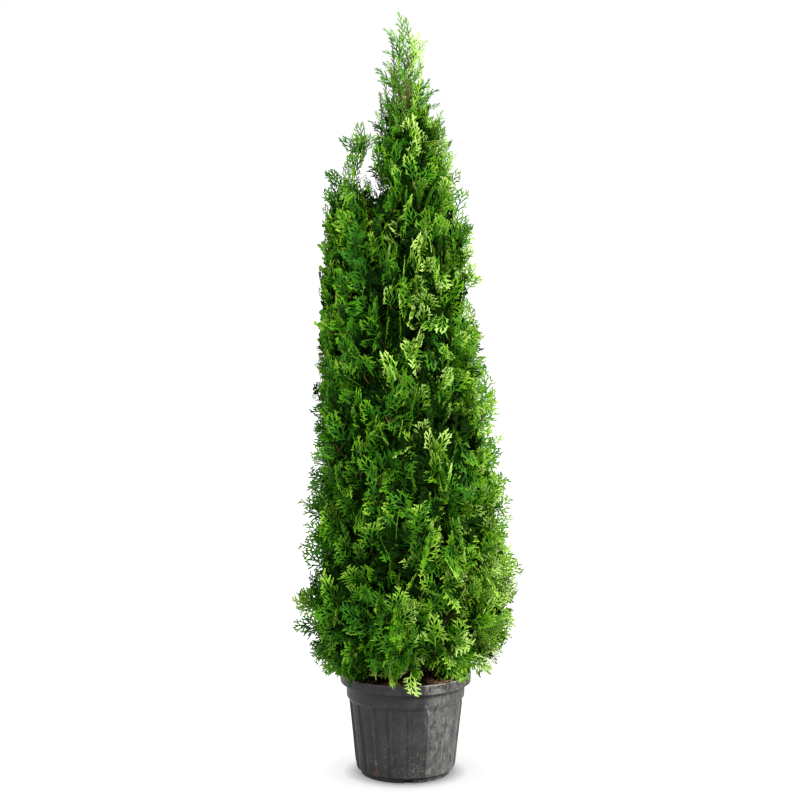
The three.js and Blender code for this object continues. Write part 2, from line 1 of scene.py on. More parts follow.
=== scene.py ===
"""A tall columnar conifer with a side leader, growing in a ribbed black nursery pot.

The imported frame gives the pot, the filling, the trunk, the side stem, the boughs and the masses of foliage.
This file dresses them: a fine shell for the pot, crumbly potting mix with bark chips on it, stems with
fibrous bark, and flat scaly sprays that grow from the boughs by the same rule as the masses of the frame,
carried on to finer twigs.

Shapes are worked out in millimetres, as the parts are, and put into the meshes in metres. The random numbers
are seeded, so each run gives the same plant.
"""

import logging
import math
from collections.abc import Callable, Sequence
from dataclasses import dataclass, field
from enum import Enum, IntEnum

import bpy
import numpy as np
from mathutils import Matrix

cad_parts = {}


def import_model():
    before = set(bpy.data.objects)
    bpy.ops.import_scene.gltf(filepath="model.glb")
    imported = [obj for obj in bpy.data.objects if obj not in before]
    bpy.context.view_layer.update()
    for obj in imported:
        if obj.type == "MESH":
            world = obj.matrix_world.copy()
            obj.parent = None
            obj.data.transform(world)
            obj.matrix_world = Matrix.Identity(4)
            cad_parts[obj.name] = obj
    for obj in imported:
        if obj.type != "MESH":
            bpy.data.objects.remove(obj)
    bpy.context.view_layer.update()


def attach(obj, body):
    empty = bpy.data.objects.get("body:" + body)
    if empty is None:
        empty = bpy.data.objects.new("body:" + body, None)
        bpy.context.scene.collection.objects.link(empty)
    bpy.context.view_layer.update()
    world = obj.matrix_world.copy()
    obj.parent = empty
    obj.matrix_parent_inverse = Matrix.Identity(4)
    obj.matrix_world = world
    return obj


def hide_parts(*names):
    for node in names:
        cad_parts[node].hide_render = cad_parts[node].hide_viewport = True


log = logging.getLogger("potted_conifer")

MM = 0.001
TURN = 2 * math.pi
GOLDEN = 0.618034
RIPPLE_SPREAD = 1.6
UP = np.array([0.0, 0.0, 1.0])
BODY = "root"

Array = np.ndarray
Place = tuple[float, float, float]
Colour = tuple[float, float, float]
Span = tuple[float, float]
Course = tuple[tuple[float, ...], tuple[float, ...]]


# ---- Meshes from arrays ----


def make_piece(name: str, vertices: Array, faces: Array, smooth: bool = True) -> bpy.types.Object:
    """Makes an object from arrays of vertices and faces.

    Args:
        name: the piece's name.
        vertices: (n, 3) places in millimetres.
        faces: (m, k) vertex numbers, k corners to each face.
        smooth: whether the faces shade smoothly.

    Returns:
        The new object, standing at the origin and riding on the body.
    """
    count, corners = faces.shape
    mesh = bpy.data.meshes.new(name)
    mesh.vertices.add(len(vertices))
    mesh.vertices.foreach_set("co", (vertices * MM).astype(np.float32).ravel())
    mesh.loops.add(count * corners)
    mesh.loops.foreach_set("vertex_index", faces.astype(np.int32).ravel())
    mesh.polygons.add(count)
    mesh.polygons.foreach_set("loop_start", np.arange(0, count * corners, corners, dtype=np.int32))
    mesh.polygons.foreach_set("use_smooth", np.full(count, smooth))
    mesh.update(calc_edges=True)
    piece = bpy.data.objects.new(name, mesh)
    bpy.context.scene.collection.objects.link(piece)
    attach(piece, BODY)
    return piece


def grid_faces(rows: int, columns: int, wrap: bool = True) -> Array:
    """Four-cornered faces of a grid whose vertices are numbered row by row.

    Args:
        rows: how many rows of vertices.
        columns: how many vertices in a row.
        wrap: whether the last column joins the first.

    Returns:
        (m, 4) vertex numbers.
    """
    row = np.arange(rows - 1)[:, None] * columns
    column = np.arange(columns if wrap else columns - 1)[None, :]
    after = (column + 1) % columns
    corners = [row + column, row + after, row + columns + after, row + columns + column]
    return np.stack(corners, axis=-1).reshape(-1, 4)


def fan_faces(first: int, columns: int, centre: int, outward: bool) -> Array:
    """Triangles that close a ring of vertices onto one centre vertex.

    Args:
        first: the ring's first vertex number.
        columns: how many vertices the ring has.
        centre: the centre's vertex number.
        outward: whether the ring's own order turns the triangles the right way.

    Returns:
        (columns, 3) vertex numbers.
    """
    ring = np.arange(columns)
    after = first + (ring + 1) % columns
    middle = np.full(columns, centre)
    here = first + ring
    return np.stack([here, after, middle] if outward else [after, here, middle], axis=-1)


def quads_to_triangles(faces: Array) -> Array:
    """Each four-cornered face as two triangles."""
    return np.concatenate([faces[:, [0, 1, 2]], faces[:, [0, 2, 3]]])


def unit(vectors: Array) -> Array:
    """Vectors of length one."""
    return vectors / np.maximum(np.linalg.norm(vectors, axis=-1, keepdims=True), 1e-9)


def ripple(points: Array, scale: float, seed: int, waves: int = 7) -> Array:
    """Smooth noise that seldom leaves -1 to 1: a sum of sine waves that run in seeded directions.

    Args:
        points: (..., 3) places.
        scale: the waves' length, in the places' own unit.
        seed: which noise.
        waves: how many waves are added.

    Returns:
        (...) values.
    """
    rng = np.random.default_rng(seed)
    directions = unit(rng.normal(size=(waves, 3))) * rng.uniform(0.7, 1.6, (waves, 1)) * TURN / scale
    phases = rng.uniform(0, TURN, waves)
    return np.sin(points @ directions.T + phases).sum(axis=-1) / math.sqrt(waves / 2) / RIPPLE_SPREAD


# ---- Finishes ----


@dataclass(frozen=True)
class NodeKit:
    """Short ways to add and join the nodes of one material."""

    tree: bpy.types.NodeTree

    def add(self, kind: str, **sockets: object) -> bpy.types.Node:
        """Adds a node and sets its input sockets by name, with _ for a space."""
        node = self.tree.nodes.new(kind)
        for name, value in sockets.items():
            node.inputs[name.replace("_", " ")].default_value = value
        return node

    def join(self, source: bpy.types.NodeSocket, target: bpy.types.NodeSocket) -> None:
        """Links an output to an input."""
        self.tree.links.new(source, target)

    def noise(self, scale: float, detail: float = 3.0, roughness: float = 0.55,
              stretch: Place = (1.0, 1.0, 1.0)) -> bpy.types.NodeSocket:
        """Noise on the piece's own coordinates.

        Args:
            scale: waves in a metre.
            detail: octaves.
            roughness: how strong the fine octaves are.
            stretch: how the coordinates are scaled first, along x, y and z.

        Returns:
            The noise's factor, from 0 to 1.
        """
        place = self.add("ShaderNodeTexCoord")
        turn = self.add("ShaderNodeMapping")
        turn.inputs["Scale"].default_value = stretch
        grain = self.add("ShaderNodeTexNoise", Scale=scale, Detail=detail, Roughness=roughness)
        self.join(place.outputs["Object"], turn.inputs["Vector"])
        self.join(turn.outputs["Vector"], grain.inputs["Vector"])
        return grain.outputs["Fac"]

    def ramp(self, factor: bpy.types.NodeSocket,
             stops: Sequence[tuple[float, Colour]]) -> bpy.types.NodeSocket:
        """A colour that follows a factor through the given stops.

        Args:
            factor: what drives it.
            stops: places from 0 to 1, each with its colour.

        Returns:
            The colour.
        """
        node = self.add("ShaderNodeValToRGB")
        elements = node.color_ramp.elements
        while len(elements) < len(stops):
            elements.new(1.0)
        for element, (place, colour) in zip(elements, stops):
            element.position = place
            element.color = (*colour, 1.0)
        self.join(factor, node.inputs["Fac"])
        return node.outputs["Color"]

    def grade(self, factor: bpy.types.NodeSocket, low: float, high: float, to_low: float = 0.0,
              to_high: float = 1.0) -> bpy.types.NodeSocket:
        """A factor moved from one range to another, and clamped.

        Args:
            factor: what is moved.
            low: where its own range starts.
            high: where its own range ends.
            to_low: where the new range starts.
            to_high: where the new range ends.

        Returns:
            The moved factor.
        """
        node = self.add("ShaderNodeMapRange")
        node.clamp = True
        for name, value in (("From Min", low), ("From Max", high), ("To Min", to_low), ("To Max", to_high)):
            node.inputs[name].default_value = value
        self.join(factor, node.inputs["Value"])
        return node.outputs["Result"]

    def times(self, one: bpy.types.NodeSocket, other: bpy.types.NodeSocket) -> bpy.types.NodeSocket:
        """The product of two factors."""
        node = self.add("ShaderNodeMath")
        node.operation = "MULTIPLY"
        self.join(one, node.inputs[0])
        self.join(other, node.inputs[1])
        return node.outputs[0]

    def blend(self, factor: bpy.types.NodeSocket, under: bpy.types.NodeSocket,
              over: bpy.types.NodeSocket | Colour) -> bpy.types.NodeSocket:
        """One colour laid over another by a factor.

        Args:
            factor: how much of the upper colour shows, from 0 to 1.
            under: the lower colour.
            over: the upper colour, plain or from a node.

        Returns:
            The mixed colour.
        """
        node = self.add("ShaderNodeMix")
        node.data_type = "RGBA"
        self.join(factor, node.inputs[0])
        self.join(under, node.inputs[6])
        if isinstance(over, tuple):
            node.inputs[7].default_value = (*over, 1.0)
        else:
            self.join(over, node.inputs[7])
        return node.outputs[2]

    def bump(self, height: bpy.types.NodeSocket, strength: float, distance: float) -> bpy.types.NodeSocket:
        """A bump's normal from a height, whose full range is the distance in metres."""
        node = self.add("ShaderNodeBump", Strength=strength, Distance=distance)
        self.join(height, node.inputs["Height"])
        return node.outputs["Normal"]


def new_material(name: str) -> tuple[bpy.types.Material, NodeKit, bpy.types.Node]:
    """Starts a material: it, its node kit and its principled shader."""
    material = bpy.data.materials.new(name)
    material.use_nodes = True
    shader = material.node_tree.nodes["Principled BSDF"]
    return material, NodeKit(material.node_tree), shader


@dataclass(frozen=True)
class FoliageFinish:
    """Scale leaves: a plain green with a fine change of tone, and a satin gloss.

    The grain and the pits are noises, given by their waves in a metre.
    """

    name: str
    colour: Colour
    dark: float = 0.8
    light: float = 1.16
    roughness: float = 0.5
    specular: float = 0.1
    grain: float = 220.0
    pits: float = 900.0
    pit_strength: float = 0.25
    pit_depth: float = 0.0006

    def build(self) -> bpy.types.Material:
        """Makes the material.

        Returns:
            The material.
        """
        material, kit, shader = new_material(self.name)
        tone = kit.noise(self.grain, 2.0)
        low = tuple(c * self.dark for c in self.colour)
        high = tuple(min(c * self.light, 1.0) for c in self.colour)
        kit.join(kit.ramp(tone, [(0.3, low), (0.7, high)]), shader.inputs["Base Color"])
        pitted = kit.bump(kit.noise(self.pits, 1.0), self.pit_strength, self.pit_depth)
        kit.join(pitted, shader.inputs["Normal"])
        shader.inputs["Roughness"].default_value = self.roughness
        shader.inputs["Specular IOR Level"].default_value = self.specular
        return material


@dataclass(frozen=True)
class BarkFinish:
    """Thin fibrous bark that runs along the stem, reddish where it peels.

    The fibres and the peeling strips are noises, given by their waves in a metre and drawn out upwards.
    """

    name: str
    groove: Colour = (0.05, 0.024, 0.014)
    fibre: Colour = (0.23, 0.105, 0.055)
    peel: Colour = (0.42, 0.22, 0.12)
    fibres: float = 260.0
    fibre_stretch: Place = (1.0, 1.0, 0.09)
    strips: float = 60.0
    strip_stretch: Place = (1.0, 1.0, 0.15)
    peeled: float = 0.55
    relief: float = 0.0015
    roughness: float = 0.85

    def build(self) -> bpy.types.Material:
        """Makes the material.

        Returns:
            The material.
        """
        material, kit, shader = new_material(self.name)
        fibres = kit.noise(self.fibres, 5.0, 0.65, self.fibre_stretch)
        strips = kit.noise(self.strips, 3.0, 0.6, self.strip_stretch)
        ground = kit.ramp(fibres, [(0.3, self.groove), (0.55, self.fibre), (0.8, self.peel)])
        colour = kit.blend(kit.grade(strips, 0.52, 0.7, 0.0, self.peeled), ground, self.peel)
        kit.join(colour, shader.inputs["Base Color"])
        kit.join(kit.bump(fibres, 0.7, self.relief), shader.inputs["Normal"])
        shader.inputs["Roughness"].default_value = self.roughness
        return material


@dataclass(frozen=True)
class PotFinish:
    """Matt black plastic: fine grain, specks and mud at the foot, and on the right a pale film and scuff
    marks that are partly real grime and wear and partly painted light, with a painted highlight on the rim's
    top edge.

    A span holds the two places, in metres along x or z, between which a mark fades in.
    """

    name: str = "dusty_black_plastic"
    plastic: Colour = (0.006, 0.006, 0.0065)
    worn: Colour = (0.014, 0.014, 0.015)
    dust: Colour = (0.09, 0.088, 0.084)
    rub_and_highlight: Colour = (0.33, 0.325, 0.31)
    mud: Colour = (0.1, 0.045, 0.03)
    dust_and_light_right_of: Span = (0.042, 0.056)
    dust_and_light_fade_right_of: Span = (0.1, 0.15)
    specks_below: Span = (0.16, 0.03)
    lip_highlight_above: Span = (0.2505, 0.2525)
    mud_below: Span = (0.055, 0.025)
    mud_left_of: Span = (-0.02, -0.035)
    specular: float = 0.26

    def build(self) -> bpy.types.Material:
        """Makes the material: plastic, a pale film and scuff marks on the right, specks, a painted highlight
        on the rim's top edge and mud, each over the last; the film and the scuff marks are partly painted
        light.

        Returns:
            The material.
        """
        material, kit, shader = new_material(self.name)
        place = kit.add("ShaderNodeTexCoord")
        axes = kit.add("ShaderNodeSeparateXYZ")
        kit.join(place.outputs["Object"], axes.inputs["Vector"])
        across, up = axes.outputs["X"], axes.outputs["Z"]
        base = kit.ramp(kit.noise(14.0, 4.0, 0.6), [(0.3, self.plastic), (0.75, self.worn)])
        film = kit.grade(kit.noise(48.0, 8.0, 0.82), 0.38, 0.66, 0.05, 1.0)
        # Pale film on the right, partly real grime and partly painted light where the lamps fall, fading out
        # further round.
        rising = kit.grade(across, *self.dust_and_light_right_of, 0.1, 1.0)
        side = kit.times(rising, kit.grade(across, *self.dust_and_light_fade_right_of, 1.0, 0.45))
        dusty_and_lit = kit.blend(kit.times(film, side), base, self.dust)
        # Vertical scuff marks on the right, partly real wear and partly painted highlight.
        scuffs_and_highlights = kit.grade(kit.noise(95.0, 8.0, 0.84, (1.0, 1.0, 0.35)), 0.5, 0.72, 0.0, 0.55)
        rubbed_and_highlit = kit.blend(kit.times(scuffs_and_highlights, side), dusty_and_lit, self.rub_and_highlight)
        foot = kit.grade(up, *self.specks_below)
        clusters = kit.grade(kit.noise(24.0, 2.0), 0.44, 0.6, 0.1, 1.0)
        specks = kit.times(kit.grade(kit.noise(560.0, 2.0, 0.5), 0.645, 0.685), clusters)
        # A painted highlight along the rim's top edge, on the lit right side.
        lip_highlight = kit.times(kit.grade(up, *self.lip_highlight_above, 0.0, 0.7), rising)
        speckled = kit.blend(lip_highlight, kit.blend(kit.times(specks, foot), rubbed_and_highlit, self.rub_and_highlight), self.rub_and_highlight)
        low = kit.grade(up, *self.mud_below, 0.0, 0.55)
        left = kit.grade(across, *self.mud_left_of)
        splash = kit.grade(kit.noise(30.0, 3.0, 0.6), 0.5, 0.62, 0.0, 0.8)
        colour = kit.blend(kit.times(kit.times(splash, low), left), speckled, self.mud)
        kit.join(colour, shader.inputs["Base Color"])
        kit.join(kit.grade(film, 0.1, 0.75, 0.42, 0.62), shader.inputs["Roughness"])
        kit.join(kit.bump(kit.noise(700.0, 3.0, 0.6), 0.12, 0.0004), shader.inputs["Normal"])
        shader.inputs["Specular IOR Level"].default_value = self.specular
        return material


@dataclass(frozen=True)
class GrainFinish:
    """Loose dry stuff, such as potting mix and chips: a colour and a relief that follow one noise.

    The stops are places of the noise from 0 to 1, each with its colour, and the waves are those in a metre.
    """

    name: str
    stops: tuple[tuple[float, Colour], ...]
    waves: float = 320.0
    detail: float = 4.0
    coarseness: float = 0.6
    strength: float = 0.5
    relief: float = 0.001
    roughness: float = 0.85

    def build(self) -> bpy.types.Material:
        """Makes the material.

        Returns:
            The material.
        """
        material, kit, shader = new_material(self.name)
        grain = kit.noise(self.waves, self.detail, self.coarseness)
        kit.join(kit.ramp(grain, self.stops), shader.inputs["Base Color"])
        kit.join(kit.bump(grain, self.strength, self.relief), shader.inputs["Normal"])
        shader.inputs["Roughness"].default_value = self.roughness
        return material


class Shade(Enum):
    """The greens and browns that sprays are dealt, from the dark inside to the bright tips.

    They are partly the plant's own change of colour and partly lit and shaded copies of one green; the
    inside's near-black green is painted shade.
    """

    # Near-black green: painted shade inside the crown.
    INNER = FoliageFinish("green_inner", (0.003, 0.013, 0.0008), roughness=0.8, specular=0.02)
    COOL_DARK = FoliageFinish("green_cool_dark", (0.008, 0.04, 0.002), specular=0.05)
    COOL = FoliageFinish("green_cool", (0.014, 0.078, 0.002), specular=0.07)
    MIDDLE = FoliageFinish("green_middle", (0.031, 0.119, 0.002))
    FRESH = FoliageFinish("green_fresh", (0.068, 0.18, 0.003))
    BRIGHT = FoliageFinish("green_bright", (0.15, 0.28, 0.024))
    LIME = FoliageFinish("green_lime", (0.25, 0.375, 0.085), specular=0.12)
    DEAD = FoliageFinish("brown_dead", (0.04, 0.022, 0.009), roughness=0.8, specular=0.05)


SHADES = list(Shade)
INNER = SHADES.index(Shade.INNER)
COOL_DARK = SHADES.index(Shade.COOL_DARK)
MIDDLE = SHADES.index(Shade.MIDDLE)
BRIGHT = SHADES.index(Shade.BRIGHT)
LIME = SHADES.index(Shade.LIME)
DEAD = SHADES.index(Shade.DEAD)
TWIG_FINISH = FoliageFinish("brown_twig", (0.11, 0.05, 0.022), roughness=0.75)


# ---- The plant's own lines and outlines, as the frame has them ----


@dataclass(frozen=True)
class Outline:
    """Radii at heights, smoothed between them by a cubic through each pair and its neighbours."""

    heights: tuple[float, ...]
    radii: tuple[float, ...]

    def at(self, height: Array) -> Array:
        """The radius at each height.

        Args:
            height: the heights.

        Returns:
            The radii.
        """
        heights, values = np.array(self.heights), np.array(self.radii)
        height = np.clip(height, heights[0], heights[-1])
        following = np.clip(np.searchsorted(heights, height, side="right"), 1, len(heights) - 1)
        share = (height - heights[following - 1]) / (heights[following] - heights[following - 1])
        before, start = values[np.maximum(following - 2, 0)], values[following - 1]
        end, after = values[following], values[np.minimum(following + 1, len(values) - 1)]
        bend = (2 * before - 5 * start + 4 * end - after) * share**2
        turn = (-before + 3 * start - 3 * end + after) * share**3
        return (2 * start + (end - before) * share + bend + turn) / 2


@dataclass(frozen=True)
class Trunk:
    """The trunk: a line that sways a little, and a taper with a root flare."""

    foot: float = 236.3
    top: float = 1690
    foot_radius: float = 13
    tip_radius: float = 1.8
    flare: float = 7
    flare_reach: float = 26
    sway: float = 7
    sway_period: float = 900
    sway_crest: float = 1540
    depth_sway: float = 4
    depth_period: float = 700

    def at(self, height: Array) -> Array:
        """The middle of the trunk at each height: a cosine to the right and a sine to the back."""
        height = np.asarray(height, float)
        x = self.sway * np.cos(TURN * (height - self.sway_crest) / self.sway_period)
        y = self.depth_sway * np.sin(TURN * (height - self.foot) / self.depth_period)
        return np.stack([x, y, height], axis=-1)

    def radius(self, height: Array) -> Array:
        """The trunk's radius at each height: a taper, with a flare that dies away above the foot."""
        share = np.clip((np.asarray(height, float) - self.foot) / (self.top - self.foot), 0, 1)
        flare = self.flare * np.exp(-(height - self.foot) / self.flare_reach)
        return self.foot_radius + (self.tip_radius - self.foot_radius) * share**0.85 + flare


@dataclass(frozen=True)
class SideStem:
    """The side stem: it swings out to the left on a smooth curve and runs up beside the trunk."""

    trunk: Trunk
    foot: float = 760
    top: float = 1440
    reach: float = 126
    forward: float = 14
    spread: float = 120
    tip_return: float = 22
    foot_radius: float = 6.5
    tip_radius: float = 1.8

    def at(self, height: Array) -> Array:
        """The middle of the stem: its swing out dies away with height, and its tip leans back.

        Args:
            height: the heights.

        Returns:
            (..., 3) places.
        """
        height = np.asarray(height, float)
        swing = 1 - np.exp(-np.maximum(height - self.foot, 0) / self.spread)
        back = np.maximum(height - self.top + 2 * self.spread, 0) / (2 * self.spread)
        start = self.trunk.at(self.foot)
        x = start[0] + (-self.reach - start[0]) * swing + self.tip_return * 0.5 * back**2
        y = start[1] + (-self.forward - start[1]) * swing
        return np.stack([x, y, height], axis=-1)

    def radius(self, height: Array) -> Array:
        """The stem's radius, an even taper."""
        share = (np.asarray(height, float) - self.foot) / (self.top - self.foot)
        return self.foot_radius + (self.tip_radius - self.foot_radius) * share


TRUNK = Trunk()
SIDE_STEM = SideStem(TRUNK)
PLANT_TOP = 1845
SIDE_TOP = 1606
CROWN = Outline(
    (250, 278, 326, 423, 560, 700, 905, 1146, 1387, 1507, 1628, 1724, 1797, PLANT_TOP),
    (185, 228, 264, 287, 276, 259, 222, 182, 142, 114, 80, 54, 40, 6),
)
SIDE_CROWN = Outline((960, 1060, 1180, 1290, 1400, 1480, 1540, SIDE_TOP), (38, 58, 68, 65, 52, 40, 24, 3))


@dataclass(frozen=True)
class Edge:
    """The cone between two levels of foliage: its height at the outline, and how steeply it rises."""

    height: float
    rise: float

    def at(self, outline: Outline, distance: Array) -> Array:
        """The cone's height at a distance from the axis."""
        return self.height - self.rise * (outline.at(self.height) - distance)


SKIRT_EDGE = Edge(500, 0.45)
LOW_EDGE = Edge(740, 0.7)
MIDDLE_EDGE = Edge(980, 0.85)
SHOULDER_EDGE = Edge(1200, 0.9)
UPPER_EDGE = Edge(1420, 1.0)
NECK_EDGE = Edge(1590, 1.1)
CROWN_EDGE = Edge(1712, 0.9)
SIDE_TIP_EDGE = Edge(1455, 0.8)
SKIRT_FLOOR = 262.0
SIDE_FLOOR = 985.0
SIDE_GAP = 60.0
SETTLING_STEPS = 12
SETTLING_SHARE = 0.6


@dataclass(frozen=True)
class Space:
    """The room of one mass: a sector between two cones round an axis, out to an outline.

    The sector's start and sweep are in degrees.
    """

    axis: Callable[[Array], Array]
    outline: Outline
    start: float
    sweep: float
    lower: Edge | None = None
    upper: Edge | None = None
    floor: float = 0.0
    ceiling: float = PLANT_TOP

    def low(self, distance: Array) -> Array:
        """The room's lower edge at a distance from the axis."""
        edge = self.lower.at(self.outline, distance) if self.lower else self.floor
        return np.maximum(edge, self.floor) + 0 * distance

    def high(self, distance: Array) -> Array:
        """The room's upper edge at a distance from the axis."""
        return (self.upper.at(self.outline, distance) if self.upper else self.ceiling) + 0 * distance

    def point(self, across: Array, up: Array, out: Array) -> Array:
        """Places in the room by their shares across the sector, up the level and out to the outline.

        The height and the distance depend on each other, so both are found by repeated steps.

        Args:
            across: shares of the sector.
            up: shares of the height between the two edges.
            out: shares of the outline's radius.

        Returns:
            (n, 3) places.
        """
        across, up, out = np.broadcast_arrays(np.asarray(across, float), up, out)
        angle = np.radians(self.start + across * self.sweep)
        nothing = np.zeros_like(across)
        height = (self.low(nothing) + self.high(nothing)) / 2
        distance = nothing
        for _ in range(SETTLING_STEPS):
            distance = out * self.outline.at(height)
            wanted = self.low(distance) + up * (self.high(distance) - self.low(distance))
            height = height + SETTLING_SHARE * (wanted - height)
        middle = self.axis(height)
        shift = np.stack([distance * np.cos(angle), distance * np.sin(angle), nothing], axis=-1)
        return middle + shift


# ---- Sprays ----


@dataclass(frozen=True)
class SprayPlan:
    """How one kind of spray is drawn. Lengths are shares of the spray's own length.

    Attributes:
        pinnae: how many leave the rib.
        lobes: how many each pinna has.
        width: a blade's width.
        spread: how far the lowest pinnae stand off, in degrees.
        fullness: how long the longest pinna is.
        first_lobe: where its first lobe stands, as a share of the pinna.
        shortest: lobes shorter than this are left out.
    """

    pinnae: int
    lobes: int
    width: float
    spread: float = 46
    fullness: float = 0.5
    first_lobe: float = 0.22
    shortest: float = 0.045


class Kind(Enum):
    """The kinds of spray: three by length, the broad one of the shade, and the slender ones of free tips."""

    SHORT = SprayPlan(6, 2, 0.082)
    USUAL = SprayPlan(7, 3, 0.06)
    LONG = SprayPlan(8, 3, 0.05)
    SHADED = SprayPlan(5, 2, 0.14)
    OPEN_TOP = SprayPlan(9, 1, 0.034, 34, 0.25, 0.6, 0.11)
    SLENDER = SprayPlan(7, 2, 0.05, 40, 0.45, 0.5, 0.07)


KINDS = list(Kind)

# The rib's three blades overlap a little. Each pinna has two: root to shoulder, and neck to tip.
RIB_STARTS = [[0.0, 0.0], [0.36, 0.0], [0.68, 0.0]]
RIB_ENDS = [[0.42, 0.0], [0.74, 0.0], [1.0, 0.0]]
RIB_STEPS = [0, 0, 3]
PINNA_NECK = 0.66
PINNA_SHOULDER = 0.74
PINNAE_FROM = 0.1
PINNAE_SPAN = 0.78
SHORTEST_PINNA = 0.14
LEAN_LOSS = 16
LAST_LOBE = 0.72
LOBE_LEAN = 29
LOBE_WIDTH = 0.9


@dataclass(frozen=True)
class SprayPattern:
    """One flat spray in its own plane: blades from starts to ends, as shares of the spray's length.

    The steps say how many shades paler than the spray's own each blade may be: more at the tips, partly for
    the paler young growth and partly as painted highlight.
    """

    starts: Array
    ends: Array
    widths: Array
    steps: Array

    @staticmethod
    def grow(seed: int, plan: SprayPlan) -> "SprayPattern":
        """Draws a spray: a rib, pinnae that leave it in turn left and right, and short lobes on those.

        A pinna's length follows the spray's egg-shaped outline, and near the root it stands off more. Its
        lobes lean forward and get shorter towards its tip.

        Args:
            seed: which spray.
            plan: its kind's plan.

        Returns:
            The pattern.
        """
        rng = np.random.default_rng(seed)
        pinnae, lobes = plan.pinnae, plan.lobes
        order = np.arange(pinnae)
        place = PINNAE_FROM + PINNAE_SPAN * (order + rng.uniform(0.25, 0.75, pinnae)) / pinnae
        side = np.where(order % 2 == 0, 1.0, -1.0)
        egg = np.sin(math.pi * (0.15 + 0.85 * place) ** 0.85) ** 0.7
        reach = np.maximum(plan.fullness * egg * rng.uniform(0.75, 1.15, pinnae), SHORTEST_PINNA)
        lean = np.radians(plan.spread - LEAN_LOSS * place + rng.uniform(-6, 6, pinnae))
        root = np.stack([place, np.zeros(pinnae)], axis=-1)
        heading = np.stack([np.cos(lean), side * np.sin(lean)], axis=-1)
        tip = root + heading * reach[:, None]
        share = np.linspace(plan.first_lobe, LAST_LOBE, lobes)
        lobe_root = root[:, None, :] + heading[:, None, :] * (reach[:, None] * share)[..., None]
        turn = side[:, None] * np.where(np.arange(lobes) % 2 == 0, 1.0, -1.0) * np.radians(LOBE_LEAN)
        turned = np.stack([heading[:, None, 0] * np.cos(turn) - heading[:, None, 1] * np.sin(turn),
                           heading[:, None, 0] * np.sin(turn) + heading[:, None, 1] * np.cos(turn)], axis=-1)
        lobe_reach = reach[:, None] * (0.64 - 0.24 * share) * rng.uniform(0.75, 1.2, (pinnae, lobes))
        lobe_tip = lobe_root + turned * lobe_reach[..., None]
        keep = (lobe_reach > plan.shortest).ravel()
        neck, shoulder = root + PINNA_NECK * (tip - root), root + PINNA_SHOULDER * (tip - root)
        starts = np.concatenate([RIB_STARTS, root, neck, lobe_root.reshape(-1, 2)[keep]])
        ends = np.concatenate([RIB_ENDS, shoulder, tip, lobe_tip.reshape(-1, 2)[keep]])
        outer = 1 + np.broadcast_to(share > 0.45, (pinnae, lobes)).ravel()[keep]
        far = (np.repeat(place, lobes)[keep] > 0.5).astype(int)
        pinna_steps = (place > 0.6).astype(int)
        steps = np.concatenate([RIB_STEPS, pinna_steps, 2 + (place > 0.35), outer + far])
        wide = np.full(len(RIB_STARTS) + 2 * pinnae, plan.width)
        widths = np.concatenate([wide, np.full(int(keep.sum()), LOBE_WIDTH * plan.width)])
        return SprayPattern(starts, ends, widths, steps)


class Form(Enum):
    """What decides a spray's kind: its length, or that it stands in the shade, or that its tip is free."""

    USUAL = 0
    SHADED = 1
    FREE = 2


@dataclass
class SprayBatch:
    """Many sprays as arrays: where each starts, which way it runs, lies and bends, and what it looks like."""

    roots: Array
    along: Array
    across: Array
    lengths: Array
    droops: Array
    curls: Array
    shades: Array
    zones: Array
    forms: Array

    def parts(self) -> tuple[Array, ...]:
        """All arrays, in the fields' order."""
        return tuple(vars(self).values())

    def chosen(self, which: Array) -> "SprayBatch":
        """The chosen sprays."""
        return SprayBatch(*(part[which] for part in self.parts()))

    @staticmethod
    def joined(batches: Sequence["SprayBatch"]) -> "SprayBatch":
        """All sprays of several batches."""
        return SprayBatch(*(np.concatenate(column) for column in zip(*(batch.parts() for batch in batches))))


# A blade's six vertices are its start, its end, and the near and far corner of each edge.
BLADE_FACES = np.array([[0, 3, 2], [0, 1, 3], [0, 4, 5], [0, 5, 1]])
BLADE_FOLD = 0.3
BLADE_NEAR = 0.3
BLADE_FAR = 0.84
NEAR_WIDTH = 0.75
SIDE_FALL = 0.25


def blades_of(batch: SprayBatch, pattern: SprayPattern) -> Array:
    """The blades of many sprays of one pattern: each has four faces and is folded along its keel.

    A point of a spray lies at its root plus its shares along and across. It droops with the squares of both,
    and curls sideways with the square of the share along. A blade's two edges lie below the keel that runs
    from its start to its end, and a little in from both, so that it is blunt.

    Args:
        batch: the sprays.
        pattern: their pattern.

    Returns:
        (sprays, blades, 6, 3) places.
    """
    normal = np.cross(batch.along, batch.across)
    scale = batch.lengths[:, None, None]

    def place(points: Array) -> Array:
        """Puts points onto every spray.

        Args:
            points: (b, 2) shares along and across.

        Returns:
            (sprays, b, 3) places.
        """
        u, v = points[None, :, 0], points[None, :, 1]
        aside = v + batch.curls[:, None] * u**2
        fall = batch.droops[:, None] * u**2 + SIDE_FALL * v**2
        shift = (u[..., None] * batch.along[:, None] + aside[..., None] * batch.across[:, None]
                 - fall[..., None] * normal[:, None])
        return batch.roots[:, None] + scale * shift

    start, end = place(pattern.starts), place(pattern.ends)
    heading = unit(end - start)
    sideways = unit(np.cross(normal[:, None], heading))
    facing = np.cross(heading, sideways)
    half = (scale[:, :, 0] * pattern.widths[None, :] / 2)[..., None]
    drop = half * 2 * BLADE_FOLD * facing
    near, far = start + BLADE_NEAR * (end - start) - drop, start + BLADE_FAR * (end - start) - drop
    edges = [near + NEAR_WIDTH * half * sideways, far + half * sideways,
             near - NEAR_WIDTH * half * sideways, far - half * sideways]
    return np.stack([start, end, *edges], axis=2)


# ---- Masses of foliage ----


